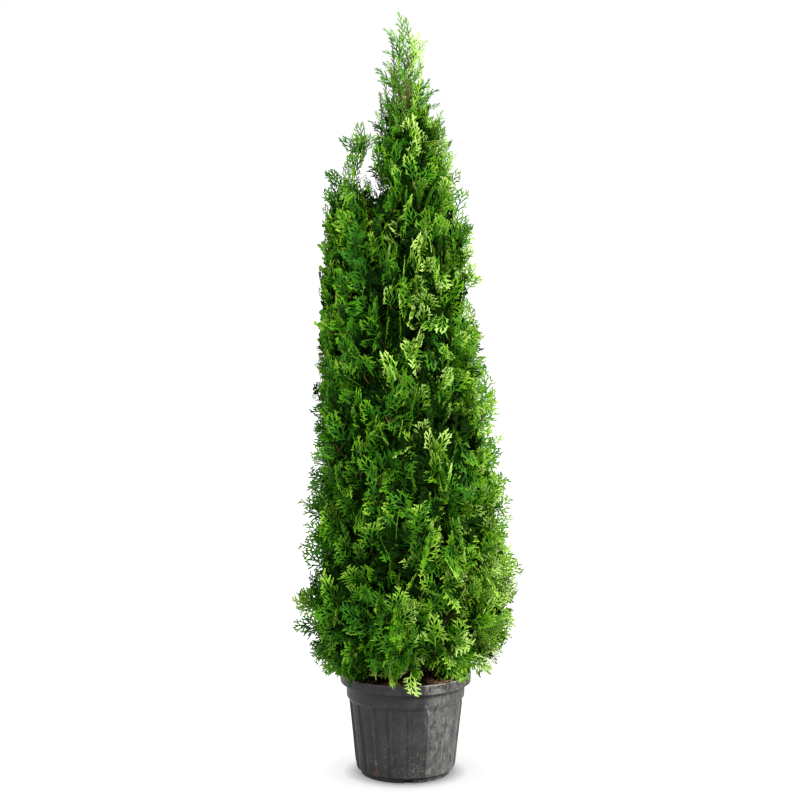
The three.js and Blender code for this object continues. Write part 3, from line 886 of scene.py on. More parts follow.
class Zone(IntEnum):
    """The parts of the crown that its pieces are kept apart by, from the pot up and then the side crown."""

    SKIRT = 0
    LOW = 1
    MIDDLE = 2
    SHOULDER = 3
    UPPER = 4
    TOP = 5
    SIDE = 6


@dataclass(frozen=True)
class Mass:
    """One mass of foliage: its room, the limb that it grows on from, and its shoots and sprays.

    Its shoots rise by so many degrees more than is usual at their height, each has so many sprays, and a mass
    beside another one has a test that says which places keep clear of it.
    """

    name: str
    zone: Zone
    space: Space
    seed: int
    shoots: int
    spray_length: float
    limb: Callable[[Array], Array] | None = None
    steeper: float = 0.0
    sprays: int = 5
    clear: Callable[[Array], Array] | None = None


@dataclass
class Shoots:
    """Shoots as arrays: each an arc from its root to its tip that ends in its heading."""

    roots: Array
    bends: Array
    tips: Array
    headings: Array
    outward: Array
    depth: Array

    def at(self, share: Array) -> Array:
        """Points along every shoot: a curve that leaves the root towards the bend and comes from there.

        Args:
            share: (shoots or 1, k) shares of the way.

        Returns:
            (shoots, k, 3) places.
        """
        share = share[..., None]
        roots, bends, tips = self.roots[:, None], self.bends[:, None], self.tips[:, None]
        return (1 - share) ** 2 * roots + 2 * (1 - share) * share * bends + share**2 * tips

    def length(self) -> Array:
        """How long each shoot is, nearly: the mean of the way over the bend and the straight way."""
        first = np.linalg.norm(self.bends - self.roots, axis=-1)
        return 0.5 * (first + np.linalg.norm(self.tips - self.bends, axis=-1)
                      + np.linalg.norm(self.tips - self.roots, axis=-1))


@dataclass(frozen=True)
class Bough:
    """A bough: one straight limb from the trunk to the foot of its mass, sagging a little, with a taper."""

    foot: Array
    tip: Array
    scale: float
    foot_radius: float = 6.5
    tip_radius: float = 3.6
    sag: float = 0.06
    collar: float = 0.3
    collar_reach: float = 0.08

    @staticmethod
    def to_space(space: Space, sector: int, scale: float, rise: float = 0.8, stagger: float = 15,
                 lowest: float = 270, across: float = 0.5, up: float = 0.45, out: float = 0.26) -> "Bough":
        """The bough that carries the mass of a room.

        Args:
            space: the room.
            sector: its number in its level, by which neighbours leave the trunk at different heights.
            scale: the bough's thickness, as a share of the usual one.
            rise: how steeply it climbs.
            stagger: the step between neighbours' feet.
            lowest: the lowest foot.
            across: where it ends, as a share of the sector.
            up: where it ends, as a share of the room's height.
            out: where it ends, as a share of the outline.

        Returns:
            The bough.
        """
        tip = space.point(np.array([across]), np.array([up]), np.array([out]))[0]
        away = np.hypot(*(tip - TRUNK.at(tip[2]))[:2])
        return Bough(TRUNK.at(max(tip[2] - rise * away, lowest) + stagger * (sector % 3)), tip, scale)

    def at(self, share: Array) -> Array:
        """The bough's middle: a straight line that sags by half a sine wave."""
        fall = -self.sag * np.hypot(*(self.tip - self.foot)[:2]) * np.sin(math.pi * share)
        return self.foot + share[:, None] * (self.tip - self.foot) + fall[:, None] * UP

    def radius(self, share: Array) -> Array:
        """The bough's taper, with a collar at the trunk."""
        thick = self.foot_radius + (self.tip_radius - self.foot_radius) * share
        return self.scale * thick * (1 + self.collar * np.exp(-share / self.collar_reach))


@dataclass(frozen=True)
class Level:
    """One level of masses round the trunk: its edges, its sectors, its boughs and its foliage.

    Its start and sweep are in degrees, and its shoots are those of one mass.
    """

    name: str
    zone: Zone
    lower: Edge | None
    upper: Edge
    sectors: int
    start: float
    sweep: float
    shoots: int
    spray_length: float
    bough_scale: float = 1.0

    def spaces(self) -> list[Space]:
        """The rooms of the level's masses."""
        step = self.sweep / self.sectors
        return [Space(TRUNK.at, CROWN, self.start + sector * step, step, self.lower, self.upper, SKIRT_FLOOR)
                for sector in range(self.sectors)]

    def boughs(self) -> list[Bough]:
        """The boughs of the level's masses."""
        return [Bough.to_space(space, sector, self.bough_scale) for sector, space in enumerate(self.spaces())]


BESIDE_START = SIDE_GAP / 2 - 180
BESIDE_SWEEP = 360 - SIDE_GAP
# Each level's name, zone, lower and upper edge, sectors, start, sweep, shoots, spray length, boughs' scale.
LEVELS = (
    Level("skirt", Zone.SKIRT, None, SKIRT_EDGE, 5, 18, 360, 60, 82),
    Level("low", Zone.LOW, SKIRT_EDGE, LOW_EDGE, 5, 68, 360, 50, 82),
    Level("middle", Zone.MIDDLE, LOW_EDGE, MIDDLE_EDGE, 5, 180, 360, 44, 80),
    Level("shoulder", Zone.SHOULDER, MIDDLE_EDGE, SHOULDER_EDGE, 4, BESIDE_START, BESIDE_SWEEP, 41, 76),
    Level("upper", Zone.UPPER, SHOULDER_EDGE, UPPER_EDGE, 3, BESIDE_START, BESIDE_SWEEP, 44, 72, 0.75),
    Level("neck", Zone.UPPER, UPPER_EDGE, NECK_EDGE, 3, 60, 360, 28, 68, 0.7),
)


def all_masses() -> list[Mass]:
    """Every mass of foliage, from the pot up and then the side crown.

    Returns:
        The masses.
    """
    found = []
    for number, level in enumerate(LEVELS):
        for sector, (space, bough) in enumerate(zip(level.spaces(), level.boughs())):
            name, seed = f"foliage_{level.name}_{sector + 1}", 100 * (number + 1) + sector
            found.append(Mass(name, level.zone, space, seed, level.shoots, level.spray_length, bough.at,
                              clear=beyond_side_crown))
    for half in range(2):
        space = Space(TRUNK.at, CROWN, 60 + 180 * half, 180, NECK_EDGE, CROWN_EDGE)
        found.append(Mass(f"foliage_crown_{half + 1}", Zone.TOP, space, seed=700 + half, shoots=26,
                          spray_length=84, sprays=4))
    leader = Space(TRUNK.at, CROWN, 0, 360, CROWN_EDGE, None, 0, PLANT_TOP)
    found.append(Mass("foliage_leader", Zone.TOP, leader, seed=800, shoots=17, spray_length=88, sprays=3))
    for index, name in enumerate(("outer", "inner")):
        space = Space(SIDE_STEM.at, SIDE_CROWN, 90 + 180 * index, 180, None, SIDE_TIP_EDGE, SIDE_FLOOR)
        found.append(Mass(f"foliage_side_{name}", Zone.SIDE, space, seed=900 + index, shoots=92,
                          spray_length=72, steeper=16, clear=clear_of_main_crown))
    tip = Space(SIDE_STEM.at, SIDE_CROWN, 0, 360, SIDE_TIP_EDGE, None, 0, SIDE_TOP)
    found.append(Mass("foliage_side_tip", Zone.SIDE, tip, seed=951, shoots=14, spray_length=74, steeper=22,
                      sprays=3, clear=clear_of_main_crown))
    return found


# Courses hold heights, and the value at each: the cleft's middle x and half width, in millimetres, how much
# further the side crown spreads to the left, and how far out shoots usually end, and lean, as shares of the
# outline.
CLEFT: Course = ((1400, 1520, 1600), (-73, -82, -78))
CLEFT_HALF: Course = ((1400, 1450, 1520, 1600), (0, 1, 5, 7))
CLEFT_FOOT = 1445
OPEN_TOP = 1530
WIDEST = 281
SIDE_STRETCH: Course = ((985, 1040, 1100, 1160, 1350, 1430, 1540, 1600),
                        (1.8, 1.0, 0.5, 0.2, 0.05, 0.5, 1.5, 1.5))
USUAL_REACH: Course = ((260, 380, 454, 600, 671, 743, 960, 1100, 1500, 1700, PLANT_TOP),
                       (0.9, 0.89, 0.9, 0.84, 0.85, 0.91, 0.92, 0.94, 0.95, 0.92, 1.0))
LEAN_TO_RIGHT: Course = (
    (260, 310, 400, 527, 600, 700, 816, 888, 990, 1141, 1300, 1660, 1730, 1800),
    (0.0, 0.08, 0.05, 0.06, 0.03, 0.0, -0.05, -0.02, -0.06, -0.05, 0.0, 0.0, -0.2, 0.0))
CORE_REACH: Course = ((900, 1300, 1500), (0.8, 0.76, 0.6))
CLIMB: Course = ((265, 360, 560, 800, 1100, 1450, 1650, PLANT_TOP), (-8, 14, 34, 44, 56, 64, 68, 80))
NODDING: Course = ((300, 1100, 1500), (0.36, 0.28, 0.0))
STANDING_OFF: Course = ((1100, OPEN_TOP), (0.72, 0.48))
SLENDER_SHARE: Course = ((500, 1100, OPEN_TOP), (0.15, 0.5, 1.0))

# Each clump's or patch's strength, size in millimetres and seed.
CLUMPS = ((0.06, 150.0, 5), (0.05, 60.0, 6))
TONE_PATCHES = ((0.4, 210.0, 11), (0.3, 70.0, 12))

# Each hollow's middle x and height, its half width and half height, and its depth as a share of the outline.
HOLLOWS = ((20, 1080, 30, 90, 0.34), (122, 500, 26, 65, 0.3), (78, 350, 20, 55, 0.24))


def from_cleft(points: Array) -> Array:
    """How far right of the cleft between the two tops places lie: negative left of it, and 0 inside it.

    The cleft's middle and half width run straight from each height to the next.

    Args:
        points: (..., 3) places.

    Returns:
        (...) distances from its nearer side.
    """
    x, z = points[..., 0], points[..., 2]
    aside, half = x - np.interp(z, *CLEFT), np.interp(z, *CLEFT_HALF)
    return np.sign(aside) * np.maximum(np.abs(aside) - half, 0)


def outside_cleft(points: Array) -> Array:
    """Whether places keep out of the cleft, which is open from its foot up to the side crown's top."""
    level = (points[..., 2] > CLEFT_FOOT) & (points[..., 2] < SIDE_TOP)
    return ~level | (from_cleft(points) != 0)


def clear_of_main_crown(points: Array) -> Array:
    """Whether places of the side crown keep clear of the main crown.

    They lie in the gap that the main crown leaves for them, or higher up more than half way out of it, and
    left of the cleft.

    Args:
        points: (..., 3) places.

    Returns:
        (...) whether each is clear.
    """
    offset = points - TRUNK.at(points[..., 2])
    distance = np.hypot(offset[..., 0], offset[..., 1])
    above = points[..., 2] > UPPER_EDGE.at(CROWN, distance)
    off = math.pi - np.abs(np.arctan2(offset[..., 1], offset[..., 0]))
    in_gap = off < math.radians(SIDE_GAP / 2) * 1.15
    clear = np.where(above, distance > 0.5 * CROWN.at(points[..., 2]), in_gap)
    return clear & ((points[..., 2] < CLEFT_FOOT) | (from_cleft(points) < 0))


def beyond_side_crown(points: Array) -> Array:
    """Whether places of the main crown keep clear of the side crown: outside its outline, right of the cleft.

    Args:
        points: (..., 3) places.

    Returns:
        (...) whether each is clear.
    """
    offset = points - SIDE_STEM.at(points[..., 2])
    distance = np.hypot(offset[..., 0], offset[..., 1])
    level = (points[..., 2] > SIDE_FLOOR + 70) & (points[..., 2] < SIDE_TOP)
    clear = ~level | (distance > 0.85 * SIDE_CROWN.at(points[..., 2]))
    low = (points[..., 2] < CLEFT_FOOT) | (points[..., 2] > SIDE_TOP)
    return clear & (low | (from_cleft(points) > 0))


def clears_pot(points: Array) -> Array:
    """Whether places are above the filling and the rim, or in front of the rim and only a little below it.

    A gap is left in front on the right, where the filling shows.

    Args:
        points: (..., 3) places.

    Returns:
        (...) whether each is clear.
    """
    distance = np.hypot(points[..., 0], points[..., 1])
    x, y, z = points[..., 0], points[..., 1], points[..., 2]
    in_front = (y < -120) & (x > -75) & (x < 15)
    over_edge = np.interp(distance, (128, 134, 166, 170), (243, 257, 257, 236))
    gap_in_front = (x > 22) & (x < 120) & (y < -60)
    return z > np.where(gap_in_front, 292, np.where(in_front | (distance < 128), over_edge, 255))


def smooth_step(value: Array, low: float, high: float) -> Array:
    """A step from 0 to 1 with a rounded foot and head."""
    share = np.clip((value - low) / (high - low), 0, 1)
    return share * share * (3 - 2 * share)


def furrows(points: Array) -> Array:
    """How far the foliage stands back in front, in shares of the outline.

    A furrow runs down between the main crown and the side crown, and there are three hollows where old twigs
    show. Each fades away from its middle by a bell curve.

    Args:
        points: (..., 3) places.

    Returns:
        (...) shares.
    """
    x, y, z = points[..., 0], points[..., 1], points[..., 2]
    furrow = 0.22 * np.exp(-(((x + 68) / 20) ** 2))
    deep = furrow * smooth_step(z, 880, 980) * (1 - smooth_step(z, 1440, 1540))
    for middle, height, width, reach, share in HOLLOWS:
        deep = deep + share * np.exp(-(((x - middle) / width) ** 2) - ((z - height) / reach) ** 2)
    return np.where(y < 0, deep, 0.0)


@dataclass
class Foliage:
    """All masses of foliage: their shoots, twigs and sprays, made into pieces by zone and shade.

    Reaches and depths are shares of the outline, and lengths that go with a spray are shares of its length.
    """

    across_jitter: float = 0.2
    seed_turn: float = 0.37
    first_reach: float = 0.9
    reach_limits: Span = (0.6, 1.12)
    ragged: float = 0.03
    strays: float = 0.16
    stray_reach: Span = (0.04, 0.11)
    climb_spread: float = 13
    steepest: float = 88
    swerve: float = 0.3
    bend: float = 0.42
    leader_every: int = 3
    limb_share: Span = (0.45, 0.55)
    stem_drop: float = 12
    spacing: Span = (0.24, 0.34)
    length_spread: Span = (0.72, 1.12)
    shorter_behind: float = 0.06
    facing_if_far: float = 0.2
    facing_if_near: float = 0.55
    swing: float = 0.42
    plane_spread: float = 0.33
    turn_spread: float = 0.15
    roll: float = 0.42
    droops: Span = (-0.04, 0.14)
    facing_droop: float = 0.1
    curl: float = 0.16
    middle_share: float = 0.55
    half_width: float = 0.38
    shortest_share: float = 0.45
    shortest: float = 26
    inside_widest: float = 12
    free_depth: float = 0.96
    inner_per_shoot: int = 2
    side_core: float = 0.12
    side_core_stretch: float = 0.9
    patterns: int = 6
    kind_lengths: Span = (46, 64)
    twig_sides: int = 3
    twig_rings: int = 6
    twig_radius: float = 1.5
    batches: list[SprayBatch] = field(default_factory=list)
    twigs: dict[int, list[Array]] = field(default_factory=dict)
    nodes: dict[int, list[str]] = field(default_factory=dict)

    def grow(self, masses: Sequence[Mass]) -> None:
        """Grows every mass, each with its own random numbers."""
        for mass in masses:
            self.nodes.setdefault(mass.zone, []).append(mass.name)
            rng = np.random.default_rng(mass.seed)
            shoots = self.shoots_of(mass, rng)
            self.add_twigs(mass, shoots)
            self.add_sprays(mass, shoots, rng)
            self.add_inner_sprays(mass, shoots, rng)

    def ends_of(self, mass: Mass, rng: np.random.Generator) -> tuple[Array, Array]:
        """Deals the ends of a mass's shoots over its outline, by golden steps across and even steps up.

        How far out they lie follows the usual reach at their height and side, and clumps of two sizes. A few
        stray out.

        Args:
            mass: the mass.
            rng: its random numbers.

        Returns:
            (n, 3) the ends that keep clear of other masses, and how far out each lies.
        """
        count, space = mass.shoots, mass.space
        order = np.arange(count)
        across = (self.across_jitter * rng.random(count) + order * GOLDEN + mass.seed * self.seed_turn) % 1
        up = (order + rng.random(count)) / count
        ends = space.point(across, up, np.full(count, self.first_reach))
        clumps = sum(strength * ripple(ends, size, seed) for strength, size, seed in CLUMPS)
        stray = rng.random(count) < self.strays
        to_right = (ends - space.axis(ends[:, 2]))[:, 0] / space.outline.at(ends[:, 2])
        usual = np.interp(ends[:, 2], *USUAL_REACH) * (1 + np.interp(ends[:, 2], *LEAN_TO_RIGHT) * to_right)
        ragged = clumps + self.ragged * rng.normal(size=count) - furrows(ends)
        out = usual + np.where(stray, rng.uniform(*self.stray_reach, count), ragged)
        out = np.minimum(np.clip(out, *self.reach_limits), WIDEST / space.outline.at(ends[:, 2]))
        if mass.zone == Zone.SIDE:
            out = out * (1 + np.interp(ends[:, 2], *SIDE_STRETCH) * np.maximum(-to_right, 0))
        ends = space.point(across, up, out)
        if space.upper is None:
            ends[-1] = space.axis(np.array(space.ceiling))
        keep = np.ones(count, bool) if mass.clear is None else mass.clear(ends)
        return ends[keep], out[keep]

    def shoots_of(self, mass: Mass, rng: np.random.Generator) -> Shoots:
        """Grows the shoots of one mass.

        Each ends where its last spray starts. Every third one starts at the limb, or at the stem where the
        mass has no limb, and the others fork from the nearest of those.

        Args:
            mass: the mass.
            rng: its random numbers.

        Returns:
            The shoots.
        """
        space = mass.space
        ends, out = self.ends_of(mass, rng)
        count = len(ends)
        outward = unit((ends - space.axis(ends[:, 2])) * [1, 1, 0] + [0, -1e-3, 0])
        slope = np.interp(ends[:, 2], *CLIMB) + mass.steeper + self.climb_spread * rng.normal(size=count)
        climb = np.radians(np.minimum(slope, self.steepest))
        if space.upper is None:
            climb[-1] = math.pi / 2
        swerve = self.swerve * rng.normal(size=(count, 1)) * np.cross(UP, outward)
        level = unit(outward + swerve)
        headings = level * np.cos(climb)[:, None] + np.sin(climb)[:, None] * UP
        tips = ends - headings * mass.spray_length
        first = np.arange(count) % self.leader_every == 0
        if mass.limb is not None:
            share = self.limb_share[0] + self.limb_share[1] * rng.random((count, 1))
            feet = mass.limb(share.ravel())
        else:
            away = np.linalg.norm((tips - space.axis(tips[:, 2]))[:, :2], axis=-1)
            feet = space.axis(tips[:, 2] - away * np.tan(np.clip(climb, 0.4, 1.2)) - self.stem_drop)
        bends = self.bends_between(feet, tips, headings)
        leaders = Shoots(feet[first], bends[first], tips[first], headings[first], outward[first], out[first])
        apart = np.linalg.norm(tips[:, None] - leaders.tips[None], axis=-1)
        forks = leaders.at(np.full((1, 1), 0.5))[np.argmin(apart, axis=1), 0]
        roots = np.where(first[:, None], feet, forks)
        return Shoots(roots, self.bends_between(roots, tips, headings), tips, headings, outward, out)

    def bends_between(self, roots: Array, tips: Array, headings: Array) -> Array:
        """Where shoots bend: back from their tips along their headings, by a share of their length."""
        return tips - headings * (self.bend * np.linalg.norm(tips - roots, axis=-1))[:, None]

    def add_twigs(self, mass: Mass, shoots: Shoots) -> None:
        """Keeps a tapering three-sided twig along each shoot.

        Args:
            mass: the mass.
            shoots: its shoots.
        """
        share = np.linspace(0, 1, self.twig_rings)[None]
        line = shoots.at(share)
        radius = (self.twig_radius * (1.1 - 0.65 * share))[..., None]
        tangent = unit(np.gradient(line, axis=1))
        sideways = unit(np.cross(tangent, [0.31, 0.93, 0.2]))
        other = np.cross(tangent, sideways)
        angle = np.arange(self.twig_sides) * TURN / self.twig_sides
        ring = np.cos(angle)[:, None] * sideways[:, :, None] + np.sin(angle)[:, None] * other[:, :, None]
        self.twigs.setdefault(mass.zone, []).append(line[:, :, None] + radius[..., None] * ring)

    def add_sprays(self, mass: Mass, shoots: Shoots, rng: np.random.Generator) -> None:
        """Keeps the sprays of a mass's shoots: one at each tip, and others behind it in turn left and right.

        A shoot's sprays share a plane, which is upright and radial or faces out of the crown, and each rolls
        a little out of it. Sprays that face outwards lie closer to the crown's surface, and some of them nod.

        Args:
            mass: the mass.
            shoots: its shoots.
            rng: its random numbers.
        """
        count, number = len(shoots.tips), mass.sprays
        order = np.arange(number)[None]
        back = order * rng.uniform(*self.spacing, (count, number)) * mass.spray_length
        share = np.clip(1 - back / shoots.length()[:, None], 0.1, 1)
        place = shoots.at(share)
        level = unit(np.cross(shoots.outward, UP))
        chance = np.where(shoots.depth > 0.95, self.facing_if_far, self.facing_if_near)
        facing = rng.random(count) < chance
        nods = rng.random(count) < np.interp(shoots.tips[:, 2], *NODDING)
        swing = rng.normal(size=(count, 1)) * self.swing
        rising = 0.65 * shoots.headings + 0.65 * UP
        nodding = 0.6 * shoots.outward - 0.65 * UP
        lifted = unit(np.where(nods[:, None], nodding, rising) + swing * level)
        ahead = np.where(facing[:, None], lifted, shoots.headings)
        lift = unit(np.cross(level, ahead))
        plane = rng.normal(size=count) * self.plane_spread + np.where(facing, math.pi / 2, 0.0)
        plane = np.where(shoots.tips[:, 2] > OPEN_TOP, rng.uniform(0, math.pi, count), plane)
        across = unit(np.cos(plane)[:, None] * lift + np.sin(plane)[:, None] * level)
        across = unit(across - (across * ahead).sum(-1, keepdims=True) * ahead)
        hand = np.where(order % 2 == 0, 1.0, -1.0) * np.where(rng.random((count, 1)) < 0.5, 1.0, -1.0)
        aside = np.interp(shoots.tips[:, 2:], *STANDING_OFF)
        turn = np.where(order == 0, 0.0, hand * aside) + self.turn_spread * rng.normal(size=(count, number))
        length = mass.spray_length * rng.uniform(*self.length_spread, (count, number))
        length = length * (1 - self.shorter_behind * order)
        if mass.space.upper is None:
            facing[-1], turn[-1, 0], length[-1, 0] = False, 0.0, mass.spray_length
        along = unit(np.cos(turn)[..., None] * ahead[:, None] + np.sin(turn)[..., None] * across[:, None])
        side = unit(across[:, None] - (across[:, None] * along).sum(-1, keepdims=True) * along)
        roll = self.roll * rng.normal(size=(count, number))
        side = unit(np.cos(roll)[..., None] * side + np.sin(roll)[..., None] * np.cross(along, side))
        outer = (np.cross(along, side) * shoots.outward[:, None]).sum(-1, keepdims=True)
        side = np.where(outer < 0, -side, side)
        droop = rng.uniform(*self.droops, (count, number)) + self.facing_droop * facing[:, None]
        self.keep_sprays(mass, rng, place, along, side, length, droop, shoots.depth[:, None], order, False)

    def add_inner_sprays(self, mass: Mass, shoots: Shoots, rng: np.random.Generator) -> None:
        """Keeps shaded sprays on the inner part of the shoots: long, wide and level with the crown's surface.

        Args:
            mass: the mass.
            shoots: its shoots.
            rng: its random numbers.
        """
        size = (len(shoots.tips), self.inner_per_shoot + (mass.zone == Zone.SIDE))
        place = shoots.at(rng.uniform(0.25, 0.85, size))
        outward = shoots.outward[:, None]
        turn = rng.uniform(-1.3, 1.3, size)[..., None]
        along = unit(np.cos(turn) * UP + np.sin(turn) * np.cross(outward, UP) + 0.3 * outward)
        side = unit(np.cross(outward, along) + 0.25 * rng.normal(size=(*size, 3)))
        side = unit(side - (side * along).sum(-1, keepdims=True) * along)
        length = mass.spray_length * rng.uniform(1.0, 1.3, size)
        droop, depth, order = np.full(size, 0.1), np.full((size[0], 1), 0.5), np.zeros((1, 1), int)
        self.keep_sprays(mass, rng, place, along, side, length, droop, depth, order, True)

    def reach_at(self, mass: Mass, points: Array, offset: Array, depth: Array, inner: bool) -> Array:
        """How far from the axis a mass's sprays may reach.

        Shaded ones keep to the core, which is wider on the left of the side crown.

        Args:
            mass: the mass.
            points: (..., 3) places.
            offset: (..., 3) the places as seen from the axis.
            depth: how far out their shoots end.
            inner: whether they are shaded ones.

        Returns:
            (...) distances.
        """
        height, outline = points[..., 2], mass.space.outline.at(points[..., 2])
        share = np.interp(height, *CORE_REACH) if inner else np.maximum(depth, 0.97)
        if inner and mass.zone == Zone.SIDE:
            left = np.clip(-offset[..., 0] / outline, 0, 1)
            stretch = self.side_core_stretch * np.interp(height, *SIDE_STRETCH)
            share = (share + self.side_core) * (1 + stretch * left)
        return np.minimum(share * outline, WIDEST - self.inside_widest)

    def keep_sprays(self, mass: Mass, rng: np.random.Generator, place: Array, along: Array, side: Array,
                    length: Array, droop: Array, depth: Array, order: Array, inner: bool) -> None:
        """Keeps those of the sprays that stay in the crown, shortened where they would pass its outline.

        Args:
            mass: the mass.
            rng: its random numbers.
            place: (shoots, sprays, 3) where they start.
            along: which way they run.
            side: the other direction of their planes.
            length: (shoots, sprays) their lengths.
            droop: how far they nod.
            depth: how far out their shoot ends.
            order: their numbers along the shoot.
            inner: whether they are shaded ones.
        """
        reach = place + along * length[..., None]
        middle = place + along * (self.middle_share * length[..., None])
        edge = side * (self.half_width * length[..., None])
        beyond = 0
        for point in (reach, middle + edge, middle - edge):
            offset = point - mass.space.axis(point[..., 2])
            limit = self.reach_at(mass, point, offset, depth, inner)
            beyond = np.maximum(np.hypot(offset[..., 0], offset[..., 1]) - limit, beyond)
        length = length * np.clip(1 - beyond / length, self.shortest_share, 1)
        in_main = mass.zone != Zone.SIDE
        length = length - np.maximum(reach[..., 2] - (PLANT_TOP if in_main else SIDE_TOP), 0)
        keep = (length > self.shortest) & clears_pot(reach) & clears_pot(middle) & clears_pot(place)
        if inner:
            keep &= place[..., 2] < (OPEN_TOP if in_main else SIDE_TIP_EDGE.height - 130)
            keep &= (reach[..., 2] < CLEFT_FOOT) | (reach[..., 0] > -30)
        if mass.clear is not None:
            keep &= mass.clear(reach)
        edge = side * (0.15 * length[..., None])
        for point in (reach, middle, middle + edge, middle - edge):
            keep &= outside_cleft(point)
        shades = TONE.deal(rng, place + along * (0.5 * length[..., None]), depth, order, inner)
        if not in_main:
            lifted = np.maximum(shades, rng.integers(COOL_DARK, MIDDLE, shades.shape))
            shades = np.where(shades == DEAD, COOL_DARK, lifted)
        curl = self.curl * rng.normal(size=length.shape)
        along, side = np.broadcast_arrays(along, side)
        free = np.broadcast_to(depth > self.free_depth, length.shape)
        forms = np.where(free, Form.FREE.value, Form.USUAL.value)
        if inner:
            forms = np.full(length.shape, Form.SHADED.value)
        zones = np.full(int(keep.sum()), int(mass.zone))
        self.batches.append(SprayBatch(place[keep], along[keep], side[keep], length[keep], droop[keep],
                                       curl[keep], shades[keep], zones, forms[keep]))

    def patterns_of(self, sprays: SprayBatch, rng: np.random.Generator) -> Array:
        """Deals each spray a pattern: one of its kind's.

        Shaded sprays are broad, and the others slender near the top and at free tips. The rest go by length.

        Args:
            sprays: all sprays.
            rng: random numbers.

        Returns:
            The numbers of their patterns.
        """
        height = sprays.roots[:, 2]
        slender = rng.random(len(height)) < np.interp(height, *SLENDER_SHARE)
        slender |= sprays.forms == Form.FREE.value
        kind = np.where(slender, KINDS.index(Kind.SLENDER), np.digitize(sprays.lengths, self.kind_lengths))
        kind = np.where(height > OPEN_TOP, KINDS.index(Kind.OPEN_TOP), kind)
        kind = np.where(sprays.forms == Form.SHADED.value, KINDS.index(Kind.SHADED), kind)
        return kind * self.patterns + rng.integers(0, self.patterns, len(height))

    def sort_blades(self, sprays: SprayBatch) -> dict[tuple[int, int], list[Array]]:
        """Draws every spray, and sorts its blades by zone and shade.

        A blade of a green spray is paler than its spray by its pattern's steps, up to the spray's own number:
        paler tips, partly young growth and partly painted highlight.

        Args:
            sprays: all sprays.

        Returns:
            Lists of (n, 6, 3) places, by numbers of zone and shade.
        """
        patterns = [SprayPattern.grow(30 + 10 * number + version, kind.value)
                    for number, kind in enumerate(KINDS) for version in range(self.patterns)]
        rng = np.random.default_rng(77)
        dealt = self.patterns_of(sprays, rng)
        in_top = sprays.roots[:, 2] > OPEN_TOP
        # Paler tips, partly young growth and partly painted highlight: one to three steps a spray, one in the
        # open top.
        tipped = np.minimum(rng.integers(1, 4, len(in_top)), np.where(in_top, 1, 3))
        found: dict[tuple[int, int], list[Array]] = {}
        for number, pattern in enumerate(patterns):
            chosen = np.flatnonzero(dealt == number)
            part = sprays.chosen(chosen)
            blades = blades_of(part, pattern)
            steps = np.minimum(tipped[chosen][:, None], pattern.steps[None, :])
            green = ((part.shades > INNER) & (part.shades < DEAD))[:, None]
            own = part.shades[:, None]
            shades = np.where(green, np.minimum(own + steps, LIME), own)
            for zone in np.unique(part.zones):
                for shade in range(len(SHADES)):
                    picked = (part.zones[:, None] == zone) & (shades == shade)
                    if picked.any():
                        found.setdefault((int(zone), shade), []).append(blades[picked])
        return found

    def build(self) -> list[bpy.types.Object]:
        """Makes the pieces: sprays by zone and shade, and twigs by zone.

        Returns:
            The pieces.
        """
        sprays = SprayBatch.joined(self.batches)
        log.info("%d sprays", len(sprays.roots))
        sorted_blades = sorted(self.sort_blades(sprays).items())
        materials = [shade.value.build() for shade in SHADES]
        pieces = []
        for (zone, shade), blocks in sorted_blades:
            blades = np.concatenate(blocks)
            offsets = np.arange(len(blades))[:, None, None] * blades.shape[1]
            faces = (BLADE_FACES[None] + offsets).reshape(-1, 3)
            name = f"sprays_{Zone(zone).name.lower()}_{SHADES[shade].value.name}"
            piece = make_piece(name, blades.reshape(-1, 3), faces, smooth=False)
            piece.data.materials.append(materials[shade])
            pieces.append(self.finish_piece(piece, zone))
        twig_bark = TWIG_FINISH.build()
        for zone, blocks in sorted(self.twigs.items()):
            rings = np.concatenate(blocks)
            name = f"twigs_{Zone(zone).name.lower()}"
            piece = make_piece(name, rings.reshape(-1, 3), self.twig_faces(len(rings)))
            piece.data.materials.append(twig_bark)
            pieces.append(self.finish_piece(piece, zone))
        log.info("%d faces in the foliage", sum(len(piece.data.polygons) for piece in pieces))
        return pieces

    def twig_faces(self, count: int) -> Array:
        """The triangles of so many twigs: their sides, and a cap at each end."""
        sides, rings = self.twig_sides, self.twig_rings
        wall = quads_to_triangles(grid_faces(rings, sides))
        last = (rings - 1) * sides
        caps = np.array([[0, 2, 1], [last, last + 1, last + 2]])
        offsets = np.arange(count)[:, None, None] * sides * rings
        return (np.concatenate([wall, caps])[None] + offsets).reshape(-1, 3)

    def finish_piece(self, piece: bpy.types.Object, zone: int) -> bpy.types.Object:
        """Hides the frame's nodes that a zone's piece stands for, and logs the piece's faces."""
        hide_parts(*self.nodes[zone])
        log.info("%s: %d faces", piece.name, len(piece.data.polygons))
        return piece


